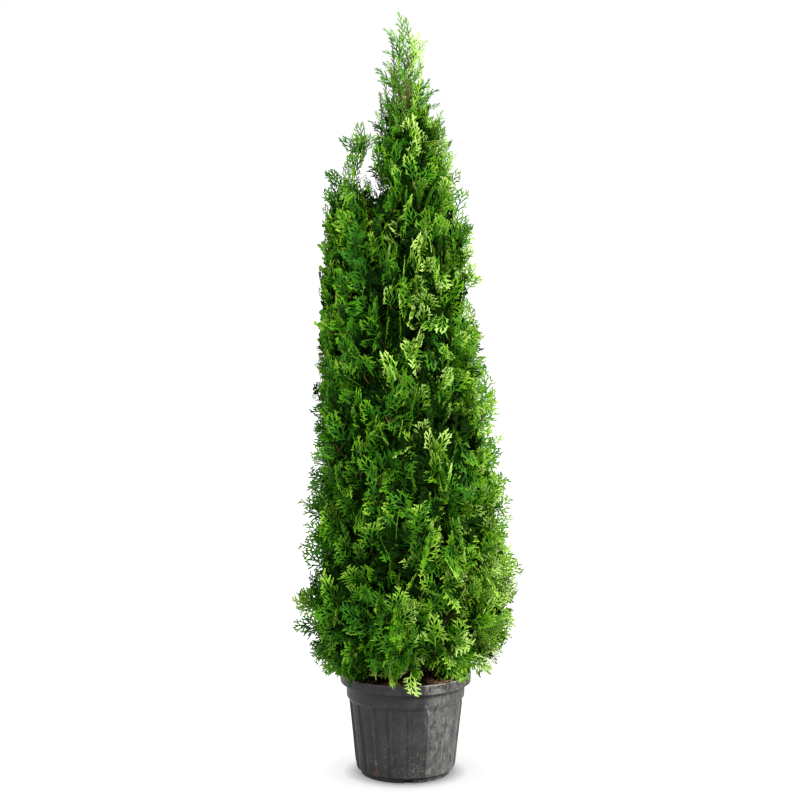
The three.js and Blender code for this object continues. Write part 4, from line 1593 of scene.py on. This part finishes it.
@dataclass(frozen=True)
class Tone:
    """What makes a spray paler or darker, in steps of shade, and how often one gets a painted highlight or is
    dead.

    Most steps paint light and shade: paler to the right, where the key light falls, in the band, at the lower
    flanks, over the rim and on shoots that reach out, darker to the left, further back along a shoot and
    further in. The band runs up in front, a little right of the middle. Hanging sprays are those that nod
    over the rim.
    """

    # Painted light and shade: all these steps but the usual tone, the top's, the open top's and chance.
    usual: float = 1.4
    to_right: float = 1.05
    to_top: float = 0.3
    in_band: float = 0.2
    behind: float = 0.2
    at_sides: float = 1.1
    painted_highlight: float = 1.4
    hanging: float = 2.2
    open_top: float = 0.9
    left_shade: float = 0.45
    chance: float = 0.5
    reaching_out: float = 4
    band_middle: float = 25
    band_half: float = 60
    often_painted_highlight: tuple[float, float, float] = (0.03, 0.37, 0.09)
    often_dead: float = 0.01

    def deal(self, rng: np.random.Generator, middle: Array, depth: Array, order: Array, inner: bool) -> Array:
        """Deals each spray a shade: brighter to the right, to the top, at the tips and in a band in front.

        The tone is a sum of these, with patches of two sizes and chance. The steps to the right, in the band,
        at the flanks, over the rim, at the tips and further back along a shoot are painted light and shade.
        Shaded sprays are all painted shade, near-black, and a few of them dead.

        Args:
            rng: random numbers.
            middle: (shoots, sprays, 3) the middle of each spray.
            depth: how far out the shoot ends.
            order: the spray's number along its shoot.
            inner: whether they are the shaded ones.

        Returns:
            (shoots, sprays) numbers of shades.
        """
        x, y, z = middle[..., 0], middle[..., 1], middle[..., 2]
        right = x / np.maximum(CROWN.at(z), 20)
        high = np.clip((z - 900) / 900, 0, 1)
        band = np.exp(-(((x - self.band_middle) / self.band_half) ** 2)) * (y < 0)
        outer = np.clip(np.abs(right) * (1.3 - z / 800), 0, 1)
        # Painted highlights: a few sprays, chosen by chance and more often in the band and low down, step
        # paler.
        anywhere, in_band, low = self.often_painted_highlight
        painted_highlight = rng.random(x.shape) < anywhere + in_band * band + low * (1 - smooth_step(z, 450, 800))
        hanging = (z < 300) & (y < -100) & (np.abs(x + 20) < 60)
        top = self.open_top * smooth_step(z, OPEN_TOP, OPEN_TOP + 120)
        # Painted light to the right, in the band, at the flanks and over the rim; painted shade further back
        # along a shoot.
        tone = self.usual + self.to_right * right + self.to_top * high + self.in_band * band
        tone = tone - self.behind * order + self.at_sides * outer + self.painted_highlight * painted_highlight
        tone = tone + self.hanging * hanging + top
        # Painted shade on the left, away from the key light.
        left = self.left_shade * np.clip(-right, 0, 1)
        tone = tone - left * smooth_step(z, 700, 1000) * (1 - smooth_step(z, 1300, 1500))
        for strength, size, seed in TONE_PATCHES:
            tone = tone + strength * ripple(middle, size, seed)
        tone = tone + rng.normal(size=tone.shape) * self.chance
        # Painted shade by depth: sprays on shoots that end further in are darker.
        tone = tone + self.reaching_out * (np.minimum(depth, 1.0) - 0.9)
        shade = np.clip(np.round(tone), COOL_DARK, np.where(z > OPEN_TOP, BRIGHT, LIME)).astype(int)
        dead = rng.random(tone.shape) < (self.often_dead if inner else 0.0)
        # Shaded sprays get the near-black green of painted shade.
        return np.where(dead, DEAD, np.where(inner, INNER, shade))


TONE = Tone()


# ---- Stems ----


@dataclass(frozen=True)
class Stem:
    """A stem with fibrous bark: rings round a line, their radius broken up by ridges that run along it.

    The line and the radius follow the share of the way from foot to tip.
    """

    name: str
    line: Callable[[Array], Array]
    radius: Callable[[Array], Array]
    rings: int = 200
    columns: int = 40
    relief: float = 0.7
    seed: int = 3

    def build(self) -> tuple[Array, Array]:
        """Works out the stem's surface.

        A vertex lies at the line's point plus the radius in its direction round the line. The radius gains a
        sum of ridges: noise that changes fast round the stem and slowly along it.

        Returns:
            The vertices and the triangles.
        """
        share = np.linspace(0, 1, self.rings)
        middle, radius = self.line(share), self.radius(share)
        tangent = unit(np.gradient(middle, axis=0))
        reference = np.where(np.abs(tangent[:, 2:]) > 0.8, [[1.0, 0, 0]], [[0, 0, 1.0]])
        sideways = unit(reference - (reference * tangent).sum(-1, keepdims=True) * tangent)
        other = np.cross(tangent, sideways)
        angle = np.arange(self.columns) / self.columns * TURN
        run = np.concatenate([[0], np.cumsum(np.linalg.norm(np.diff(middle, axis=0), axis=-1))])
        cos, sin = np.cos(angle)[None, :], np.sin(angle)[None, :]
        grain = np.stack(np.broadcast_arrays(14 * cos, 14 * sin, 0.16 * run[:, None]), axis=-1)
        ridges = ripple(grain, 9.0, self.seed) + 0.6 * ripple(grain, 3.5, self.seed + 1)
        swell = radius[:, None] + self.relief * np.minimum(radius[:, None] / 6, 1) * ridges
        direction = cos[..., None] * sideways[:, None] + sin[..., None] * other[:, None]
        wall = middle[:, None] + swell[..., None] * direction
        vertices = np.concatenate([wall.reshape(-1, 3), middle[:1], middle[-1:]])
        body = quads_to_triangles(grid_faces(self.rings, self.columns))
        last = (self.rings - 1) * self.columns
        foot = fan_faces(0, self.columns, len(vertices) - 2, False)
        tip = fan_faces(last, self.columns, len(vertices) - 1, True)
        return vertices, np.concatenate([body, foot, tip])


@dataclass
class Woodwork:
    """The trunk, the side stem and the boughs. The side stem's bark starts a little above its foot."""

    side_start: float = 4
    gather: float = 1.4

    def build(self) -> list[bpy.types.Object]:
        """Makes the woody pieces.

        The trunk's rings stand closer together near its foot: their heights go with a power of their share.

        Returns:
            The pieces.
        """
        bark = BarkFinish("fibrous_bark").build()
        span = TRUNK.top - TRUNK.foot
        side_foot = SIDE_STEM.foot + self.side_start
        side_span = SIDE_STEM.top - side_foot
        trunk = Stem("trunk_bark", lambda share: TRUNK.at(TRUNK.foot + span * share**self.gather),
                     lambda share: TRUNK.radius(TRUNK.foot + span * share**self.gather),
                     rings=420, columns=48, relief=0.8)
        side = Stem("side_stem_bark", lambda share: SIDE_STEM.at(side_foot + side_span * share),
                    lambda share: SIDE_STEM.radius(side_foot + side_span * share),
                    rings=220, columns=26, relief=0.5, seed=9)
        pieces = [self.dress(trunk.name, [trunk.build()], ["trunk"], bark),
                  self.dress(side.name, [side.build()], ["side_stem"], bark)]
        for level in LEVELS:
            stems = [Stem(level.name, bough.at, bough.radius, rings=28, columns=14, relief=0.5,
                          seed=40 + sector) for sector, bough in enumerate(level.boughs())]
            nodes = [f"bough_{level.name}_{sector + 1}" for sector in range(level.sectors)]
            surfaces = [stem.build() for stem in stems]
            pieces.append(self.dress(f"boughs_{level.name}_bark", surfaces, nodes, bark))
        return pieces

    @staticmethod
    def dress(name: str, parts: Sequence[tuple[Array, Array]], nodes: Sequence[str],
              bark: bpy.types.Material) -> bpy.types.Object:
        """Joins surfaces into one piece that stands for the named nodes.

        Args:
            name: the piece's name.
            parts: the surfaces' vertices and triangles.
            nodes: the frame's nodes.
            bark: the material.

        Returns:
            The piece.
        """
        offsets = np.cumsum([0, *(len(vertices) for vertices, _ in parts)])
        vertices = np.concatenate([vertices for vertices, _ in parts])
        faces = np.concatenate([faces + offset for (_, faces), offset in zip(parts, offsets)])
        piece = make_piece(name, vertices, faces)
        piece.data.materials.append(bark)
        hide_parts(*nodes)
        log.info("%s: %d faces", name, len(faces))
        return piece


# ---- Pot and potting mix ----


@dataclass
class Pot:
    """The nursery pot: a turned wall with ribs, a foot ring with drain notches, and a rim with lifting slits.

    Drains and ribs are given by their half width, and slits by their places, in degrees round the pot.
    """

    height: float = 253
    wall: float = 3
    floor: float = 5
    rim_radius: float = 160
    rim_height: float = 24
    band_radius: float = 144
    band_height: float = 34
    band_taper: float = 10
    body_top: float = 137
    body_foot: float = 118.5
    foot_height: float = 12
    foot_radius: float = 108.5
    ribs: int = 18
    rib_lift: float = 2.8
    rib_half: float = 1.3
    rib_phase: float = 273.6
    dish: float = 1.3
    drain_half: float = 5.9
    drain_height: float = 9
    drains: int = 4
    drain_depth: float = 13
    slits: tuple[float, ...] = (291.5, 307, 111.5, 127)
    slit_depth: float = 4.5
    slit_edge: Span = (0.35, 0.65)
    warp: float = 0.5
    warp_length: float = 190
    columns: int = 480

    def profile(self) -> Array:
        """The wall's section, up the outside and down the inside: corners with the radii that round them.

        Returns:
            (n, 2) radii and heights, without the two points on the axis.
        """
        rim_foot = self.height - self.rim_height
        band_foot = rim_foot - self.band_height
        foot = self.foot_radius
        corners = [
            (foot - 6, 0, 1.0), (foot, 0, 1.6), (foot, self.foot_height, 0.6),
            (self.body_foot, self.foot_height + 2.4, 1.2),
            (self.body_top, band_foot - self.band_taper, 2.0), (self.band_radius, band_foot, 1.6),
            (self.band_radius + 0.6, rim_foot, 0.8), (self.rim_radius - 1, rim_foot, 1.6),
            (self.rim_radius, self.height, 2.0), (self.rim_radius - 5, self.height, 2.0),
            (self.rim_radius - 6.5, rim_foot + 6, 3.0), (self.band_radius - self.wall, rim_foot - 4, 3.0),
            (self.band_radius - self.wall, band_foot - 1, 1.0),
            (self.body_top - self.wall, band_foot - self.band_taper - 2, 2.0),
            (self.body_foot - self.wall, self.foot_height + 3 + self.wall, 2.0),
            (foot - self.wall, self.floor, 2.0), (foot - self.wall - 10, self.floor, 1.0),
        ]
        return rounded_path(corners, 4, 9.0)

    def angles(self) -> Array:
        """The angles of the wall's columns: even ones, and closer ones at each slit and each side of a drain.

        Returns:
            The angles, in radians.
        """
        even = self.rib_phase + np.arange(self.columns) / self.columns * 360
        quarter = 360 / self.drains * np.arange(self.drains)
        edges = [self.rib_phase + quarter - self.drain_half, self.rib_phase + quarter + self.drain_half]
        close = np.concatenate([np.array(self.slits), *edges])[:, None] + np.linspace(-0.9, 0.9, 13)
        return np.radians(np.unique(np.round(np.concatenate([even % 360, close.ravel() % 360]), 3)))

    def relief(self, degrees: Array, radius: Array, height: Array, outside: Array) -> Array:
        """How far the wall stands out from its turned section.

        On the body, each rib is narrow and rounded, and each panel between two ribs is dished by a squared
        cosine. A notch is pressed in at each drain, and a narrow groove at each slit of the rim.

        Args:
            degrees: (1, columns) angles.
            radius: (rows, 1) the section's radii.
            height: (rows, 1) its heights.
            outside: (rows, 1) whether they are on the outside.

        Returns:
            (rows, columns) distances.
        """
        pitch = 360 / self.ribs
        from_rib = (degrees - self.rib_phase + pitch / 2) % pitch - pitch / 2
        rim_foot = self.height - self.rim_height
        body_top = rim_foot - self.band_height - self.band_taper
        on_body = smooth_step(height, self.foot_height + 2, self.foot_height + 8) * (
            1 - smooth_step(height, body_top - 4, body_top + 2))
        rib = self.rib_lift * (1 - smooth_step(np.abs(from_rib), 0.5 * self.rib_half, self.rib_half * 1.5))
        dish = -self.dish * np.cos(math.pi * from_rib / pitch) ** 2 * (np.abs(from_rib) > self.rib_half)
        relief = outside * on_body * (rib + dish)
        quarter = 360 / self.drains
        from_drain = (degrees - self.rib_phase + quarter / 2) % quarter - quarter / 2
        at_drain = 1 - smooth_step(np.abs(from_drain), self.drain_half - 0.4, self.drain_half + 0.1)
        below = 1 - smooth_step(height, self.drain_height - 0.6, self.drain_height + 0.6)
        relief = relief - outside * self.drain_depth * (at_drain * below * (radius > self.foot_radius - 6))
        over_rim_foot = smooth_step(height, rim_foot + 2, rim_foot + 3)
        on_rim = over_rim_foot * (1 - smooth_step(height, self.height - 4, self.height - 3))
        for slit in self.slits:
            away = np.abs((degrees - slit + 180) % 360 - 180)
            relief = relief - outside * self.slit_depth * on_rim * (1 - smooth_step(away, *self.slit_edge))
        return relief

    def build(self) -> bpy.types.Object:
        """Makes the pot.

        A vertex lies at its section's radius plus the relief at its angle and height, and the outside is a
        little warped.

        Returns:
            The piece.
        """
        path = self.profile()
        angle = self.angles()
        radius, height = path[:, 0][:, None], path[:, 1][:, None]
        outside = (np.arange(len(path)) <= int(np.argmax(path[:, 1] >= self.height - 0.01)))[:, None]
        place = radius + self.relief(np.degrees(angle)[None, :], radius, height, outside)
        wall = np.stack(np.broadcast_arrays(place * np.cos(angle), place * np.sin(angle), height), axis=-1)
        warp = (self.warp * ripple(wall, self.warp_length, 21))[..., None]
        wall[..., :2] += warp * unit(wall[..., :2]) * outside[..., None]
        vertices = np.concatenate([wall.reshape(-1, 3), [[0, 0, 0], [0, 0, self.floor]]])
        body = quads_to_triangles(grid_faces(len(path), len(angle)))
        last = (len(path) - 1) * len(angle)
        under = fan_faces(0, len(angle), len(vertices) - 2, False)
        inside = fan_faces(last, len(angle), len(vertices) - 1, True)
        piece = make_piece("pot_shell", vertices, np.concatenate([body, under, inside]))
        piece.data.materials.append(PotFinish().build())
        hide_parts("pot")
        log.info("pot_shell: %d faces", len(piece.data.polygons))
        return piece


def rounded_path(corners: Sequence[tuple[float, float, float]], steps: int, spacing: float) -> Array:
    """A path through corners, each rounded by a short arc, with more points along its straight runs.

    The arc at a corner starts and ends the corner's radius away from it, and bends towards it.

    Args:
        corners: the corners' two coordinates and radii.
        steps: points to each arc, less one.
        spacing: the widest gap between points on a straight run.

    Returns:
        (n, 2) points.
    """
    points = np.array([corner[:2] for corner in corners], float)
    radii = np.array([corner[2] for corner in corners])
    share = np.linspace(0, 1, steps + 1)[:, None]
    path: list[Array] = [points[:1]]
    for before, corner, after, radius in zip(points, points[1:], points[2:], radii[1:]):
        start = corner + unit(before - corner) * min(radius, np.linalg.norm(before - corner) / 2)
        end = corner + unit(after - corner) * min(radius, np.linalg.norm(after - corner) / 2)
        path.append((1 - share) ** 2 * start + 2 * share * (1 - share) * corner + share**2 * end)
    path.append(points[-1:])
    joined = np.concatenate(path)
    gaps = np.linalg.norm(np.diff(joined, axis=0), axis=1)
    extra = np.maximum(np.ceil(gaps / spacing).astype(int), 1)
    pieces = [start + (end - start) * (np.arange(number) / number)[:, None]
              for start, end, number in zip(joined, joined[1:], extra)]
    return np.concatenate([*pieces, joined[-1:]])


@dataclass(frozen=True)
class Chips:
    """One kind of chip on the filling: its piece's name, its finish, its usual length and its seed."""

    name: str
    finish: GrainFinish
    length: float
    seed: int


CRUMBS = GrainFinish(
    "potting_mix", ((0.32, (0.02, 0.012, 0.008)), (0.55, (0.12, 0.062, 0.036)), (0.78, (0.27, 0.15, 0.085))),
    waves=170.0, detail=5.0, coarseness=0.7, strength=1.0, relief=0.003, roughness=0.92)
RED_CHIP = GrainFinish("chip_red", ((0.3, (0.09, 0.03, 0.016)), (0.7, (0.3, 0.12, 0.06))))
BROWN_CHIP = GrainFinish("chip_brown", ((0.3, (0.06, 0.035, 0.02)), (0.7, (0.2, 0.12, 0.07))))
STRAW_BITS = GrainFinish("bits_straw", ((0.3, (0.16, 0.1, 0.04)), (0.7, (0.42, 0.3, 0.13))))
CHIP_KINDS = (Chips("bark_chips_red", RED_CHIP, 8.0, 300), Chips("bark_chips_brown", BROWN_CHIP, 7.0, 301),
              Chips("dead_scale_bits", STRAW_BITS, 4.5, 302))
CHIP_CORNERS = np.array([[-1, -1, 0], [1, -1, 0], [1, 1, 0], [-1, 1, 0],
                         [-0.7, -0.6, 1], [0.7, -0.7, 1], [0.6, 0.7, 1], [-0.7, 0.6, 1]], float)
CHIP_FACES = np.array([[0, 3, 2, 1], [4, 5, 6, 7], [0, 1, 5, 4], [1, 2, 6, 5], [2, 3, 7, 6], [3, 0, 4, 7]])


@dataclass
class PottingMix:
    """The filling's crumbly top with chips of bark on it, and its sides down inside the pot."""

    top: float = 236
    edge_drop: float = 6
    level_out: float = 70
    radius: float = 139.6
    side_drops: tuple[float, ...] = (3, 10, 20)
    depth: float = 30
    rings: int = 90
    columns: int = 220
    chips: int = 620
    chip_tilt: float = 0.3
    sunk: float = 0.2

    def surface(self, x: Array, y: Array) -> Array:
        """The height of the top at places: a low mound with lumps of two sizes."""
        distance = np.hypot(x, y)
        mound = self.top - self.edge_drop * np.clip((distance - self.level_out) / self.level_out, 0, 1)
        place = np.stack(np.broadcast_arrays(x, y, 0 * x), axis=-1)
        return mound + 1.3 * ripple(place, 34.0, 51) + 0.9 * ripple(place, 11.0, 52, 11) - 1.2

    def build(self) -> list[bpy.types.Object]:
        """Makes the filling and the chips.

        The filling's rings run out over the top, down the side and half way in underneath: the radius grows
        to the edge, the next rings keep it and go down, and the last one is smaller.

        Returns:
            The pieces.
        """
        run = np.linspace(0.01, 1, self.rings)
        angle = np.arange(self.columns) / self.columns * TURN
        drops = [*self.side_drops, self.depth]
        radius = np.concatenate([run, np.full(len(drops), 1.0), [0.5]]) * self.radius
        x, y = radius[:, None] * np.cos(angle), radius[:, None] * np.sin(angle)
        height = self.surface(x, y) - np.concatenate([np.zeros(self.rings), drops, [self.depth]])[:, None]
        wall = np.stack([x, y, height], axis=-1)
        centre = np.array([[0, 0, self.top - 1.0], [0, 0, self.top - self.depth]])
        vertices = np.concatenate([wall.reshape(-1, 3), centre])
        body = quads_to_triangles(grid_faces(len(radius), self.columns))[:, ::-1]
        last = (len(radius) - 1) * self.columns
        top = fan_faces(0, self.columns, len(vertices) - 2, True)
        under = fan_faces(last, self.columns, len(vertices) - 1, False)
        piece = make_piece("potting_mix_top", vertices, np.concatenate([body, top, under]))
        piece.data.materials.append(CRUMBS.build())
        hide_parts("soil")
        log.info("potting_mix_top: %d faces", len(piece.data.polygons))
        return [piece, *(self.scatter(kind) for kind in CHIP_KINDS)]

    def scatter(self, kind: Chips) -> bpy.types.Object:
        """Makes one kind of chip: small slabs with a bevelled top, lying and leaning on the surface.

        A chip's corners are those of a box whose upper face is smaller, tilted and turned at random.

        Args:
            kind: the kind.

        Returns:
            The piece.
        """
        rng = np.random.default_rng(kind.seed)
        distance = (self.radius - 9) * np.sqrt(rng.uniform(0.03, 1, self.chips))
        angle = rng.uniform(0, TURN, self.chips)
        x, y = distance * np.cos(angle), distance * np.sin(angle)
        length = kind.length * rng.uniform(0.6, 1.7, self.chips)
        width, thick = length * rng.uniform(0.25, 0.6, self.chips), rng.uniform(0.8, 2.0, self.chips)
        shape = CHIP_CORNERS[None] * np.stack([length / 2, width / 2, thick], axis=-1)[:, None]
        turn, tilt = rng.uniform(0, TURN, self.chips), rng.normal(size=self.chips) * self.chip_tilt
        cos, sin = np.cos(tilt)[:, None], np.sin(tilt)[:, None]
        ahead, aside = shape[..., 0] * cos - shape[..., 2] * sin, shape[..., 1]
        above = shape[..., 0] * sin + shape[..., 2] * cos
        cos, sin = np.cos(turn)[:, None], np.sin(turn)[:, None]
        lying = np.stack([ahead * cos - aside * sin, ahead * sin + aside * cos, above], axis=-1)
        rest = np.stack([x, y, self.surface(x, y) - self.sunk], axis=-1)
        faces = (CHIP_FACES[None] + np.arange(self.chips)[:, None, None] * len(CHIP_CORNERS)).reshape(-1, 4)
        piece = make_piece(kind.name, (lying + rest[:, None]).reshape(-1, 3), faces, smooth=False)
        piece.data.materials.append(kind.finish.build())
        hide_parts("soil")
        log.info("%s: %d faces", kind.name, len(faces))
        return piece


# ---- Studio ----


@dataclass(frozen=True)
class Lamp:
    """A square area light that faces a target, and lights either the floor alone or everything but the floor.

    Places and sizes are in metres, and the power in watts.
    """

    name: str
    place: Place
    target: Place
    size: float
    power: float
    colour: Colour = (1.0, 1.0, 1.0)
    on_floor: bool = False

    def build(self, floor: bpy.types.Object) -> None:
        """Makes the light.

        Args:
            floor: the floor, which it includes or leaves out.
        """
        light = bpy.data.lights.new(self.name, "AREA")
        light.shape, light.size, light.energy, light.color = "SQUARE", self.size, self.power, self.colour
        lamp = bpy.data.objects.new(self.name, light)
        bpy.context.scene.collection.objects.link(lamp)
        forward = unit(np.subtract(self.target, self.place))
        right = unit(np.cross(forward, UP))
        turned = np.eye(4)
        turned[:3] = np.stack([right, np.cross(right, forward), -forward, self.place], axis=-1)
        lamp.matrix_world = Matrix(turned.tolist())
        lit = bpy.data.collections.new(f"{self.name}_reach")
        lit.objects.link(floor)
        lit.collection_objects[0].light_linking.link_state = "INCLUDE" if self.on_floor else "EXCLUDE"
        lamp.light_linking.receiver_collection = lit


LAMPS = (
    Lamp("floor_light", (0.0, 0.0, 4.2), (0.0, 0.01, 0.0), 3.0, 110.0, on_floor=True),
    Lamp("key_light", (2.9, -3.2, 3.6), (0.0, 0.0, 0.9), 1.3, 750.0, (1.0, 0.985, 0.95)),
    Lamp("rim_light", (2.6, 1.2, 2.6), (0.0, 0.0, 1.0), 1.2, 150.0, (1.0, 0.99, 0.96)),
    Lamp("fill_light", (-3.0, -3.2, 2.4), (0.0, 0.0, 0.9), 2.0, 190.0, (0.98, 1.0, 0.96)),
    Lamp("back_light", (-1.6, 3.8, 2.4), (0.0, 0.0, 0.9), 2.4, 170.0),
)


@dataclass
class Studio:
    """A white sweep, soft lights and the camera.

    The floor's half width is in millimetres, as the parts are, and the camera's place in metres.
    """

    floor_reach: float = 40000
    floor_lines: int = 41
    floor_white: Colour = (0.93, 0.93, 0.93)
    surround: float = 0.11
    camera_place: Place = (-0.0134, -6.0, 1.75)
    pitch: float = 7.88
    lens: float = 113.3
    sensor: float = 36.0
    sight: float = 60.0

    def build(self) -> None:
        """Makes the floor, the surround, the lights and the camera."""
        floor = self.sweep()
        self.world()
        for lamp in LAMPS:
            lamp.build(floor)
        self.camera()

    def sweep(self) -> bpy.types.Object:
        """The floor: a wide level grid, closer near the plant, that glows more with the distance. Its glow is
        dimmer close to the pot, a painted contact shadow round the foot.

        Returns:
            The floor.
        """
        line = self.floor_reach * np.linspace(-1, 1, self.floor_lines) ** 3
        grid_x, grid_y = np.meshgrid(line, line)
        vertices = np.stack([grid_x, grid_y, 0 * grid_x], axis=-1).reshape(-1, 3)
        floor = make_piece("studio_floor", vertices, grid_faces(len(line), len(line), wrap=False))
        material, kit, shader = new_material("studio_white")
        shader.inputs["Base Color"].default_value = (*self.floor_white, 1.0)
        shader.inputs["Roughness"].default_value = 0.9
        shader.inputs["Specular IOR Level"].default_value = 0.1
        shader.inputs["Emission Color"].default_value = (1.0, 1.0, 1.0, 1.0)
        place = kit.add("ShaderNodeTexCoord")
        distance = kit.add("ShaderNodeVectorMath")
        distance.operation = "LENGTH"
        kit.join(place.outputs["Object"], distance.inputs[0])
        # Dimmer glow close to the pot: a painted contact shadow.
        near = kit.grade(distance.outputs["Value"], 0.105, 0.155, 0.25, 0.75)
        far = kit.grade(distance.outputs["Value"], 0.5, 2.6, 0.0, 0.4)
        total = kit.add("ShaderNodeMath")
        kit.join(near, total.inputs[0])
        kit.join(far, total.inputs[1])
        kit.join(total.outputs[0], shader.inputs["Emission Strength"])
        floor.data.materials.append(material)
        floor.parent = None
        return floor

    def world(self) -> None:
        """An even white surround that looks brighter than the light it gives."""
        world = bpy.data.worlds.new("studio_surround")
        world.use_nodes = True
        background = world.node_tree.nodes["Background"]
        background.inputs["Color"].default_value = (1.0, 1.0, 1.0, 1.0)
        kit = NodeKit(world.node_tree)
        seen = kit.add("ShaderNodeLightPath").outputs["Is Camera Ray"]
        kit.join(kit.grade(seen, 0.0, 1.0, self.surround, 1.0), background.inputs["Strength"])
        bpy.context.scene.world = world

    def camera(self) -> None:
        """The camera: in front, near the plant's top, looking slightly down."""
        data = bpy.data.cameras.new("camera")
        data.lens, data.sensor_width, data.clip_end = self.lens, self.sensor, self.sight
        camera = bpy.data.objects.new("camera", data)
        camera.location = self.camera_place
        camera.rotation_euler = (math.radians(90 - self.pitch), 0.0, 0.0)
        bpy.context.scene.collection.objects.link(camera)
        scene = bpy.context.scene
        scene.camera = camera
        scene.view_settings.view_transform = "Standard"
        scene.view_settings.look = "None"


def main() -> None:
    """Builds the plant, its pot and the studio in order."""
    logging.basicConfig(level=logging.INFO, format="%(message)s")
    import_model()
    Studio().build()
    Pot().build()
    PottingMix().build()
    Woodwork().build()
    foliage = Foliage()
    foliage.grow(all_masses())
    foliage.build()


if __name__ == "__main__":
    main()
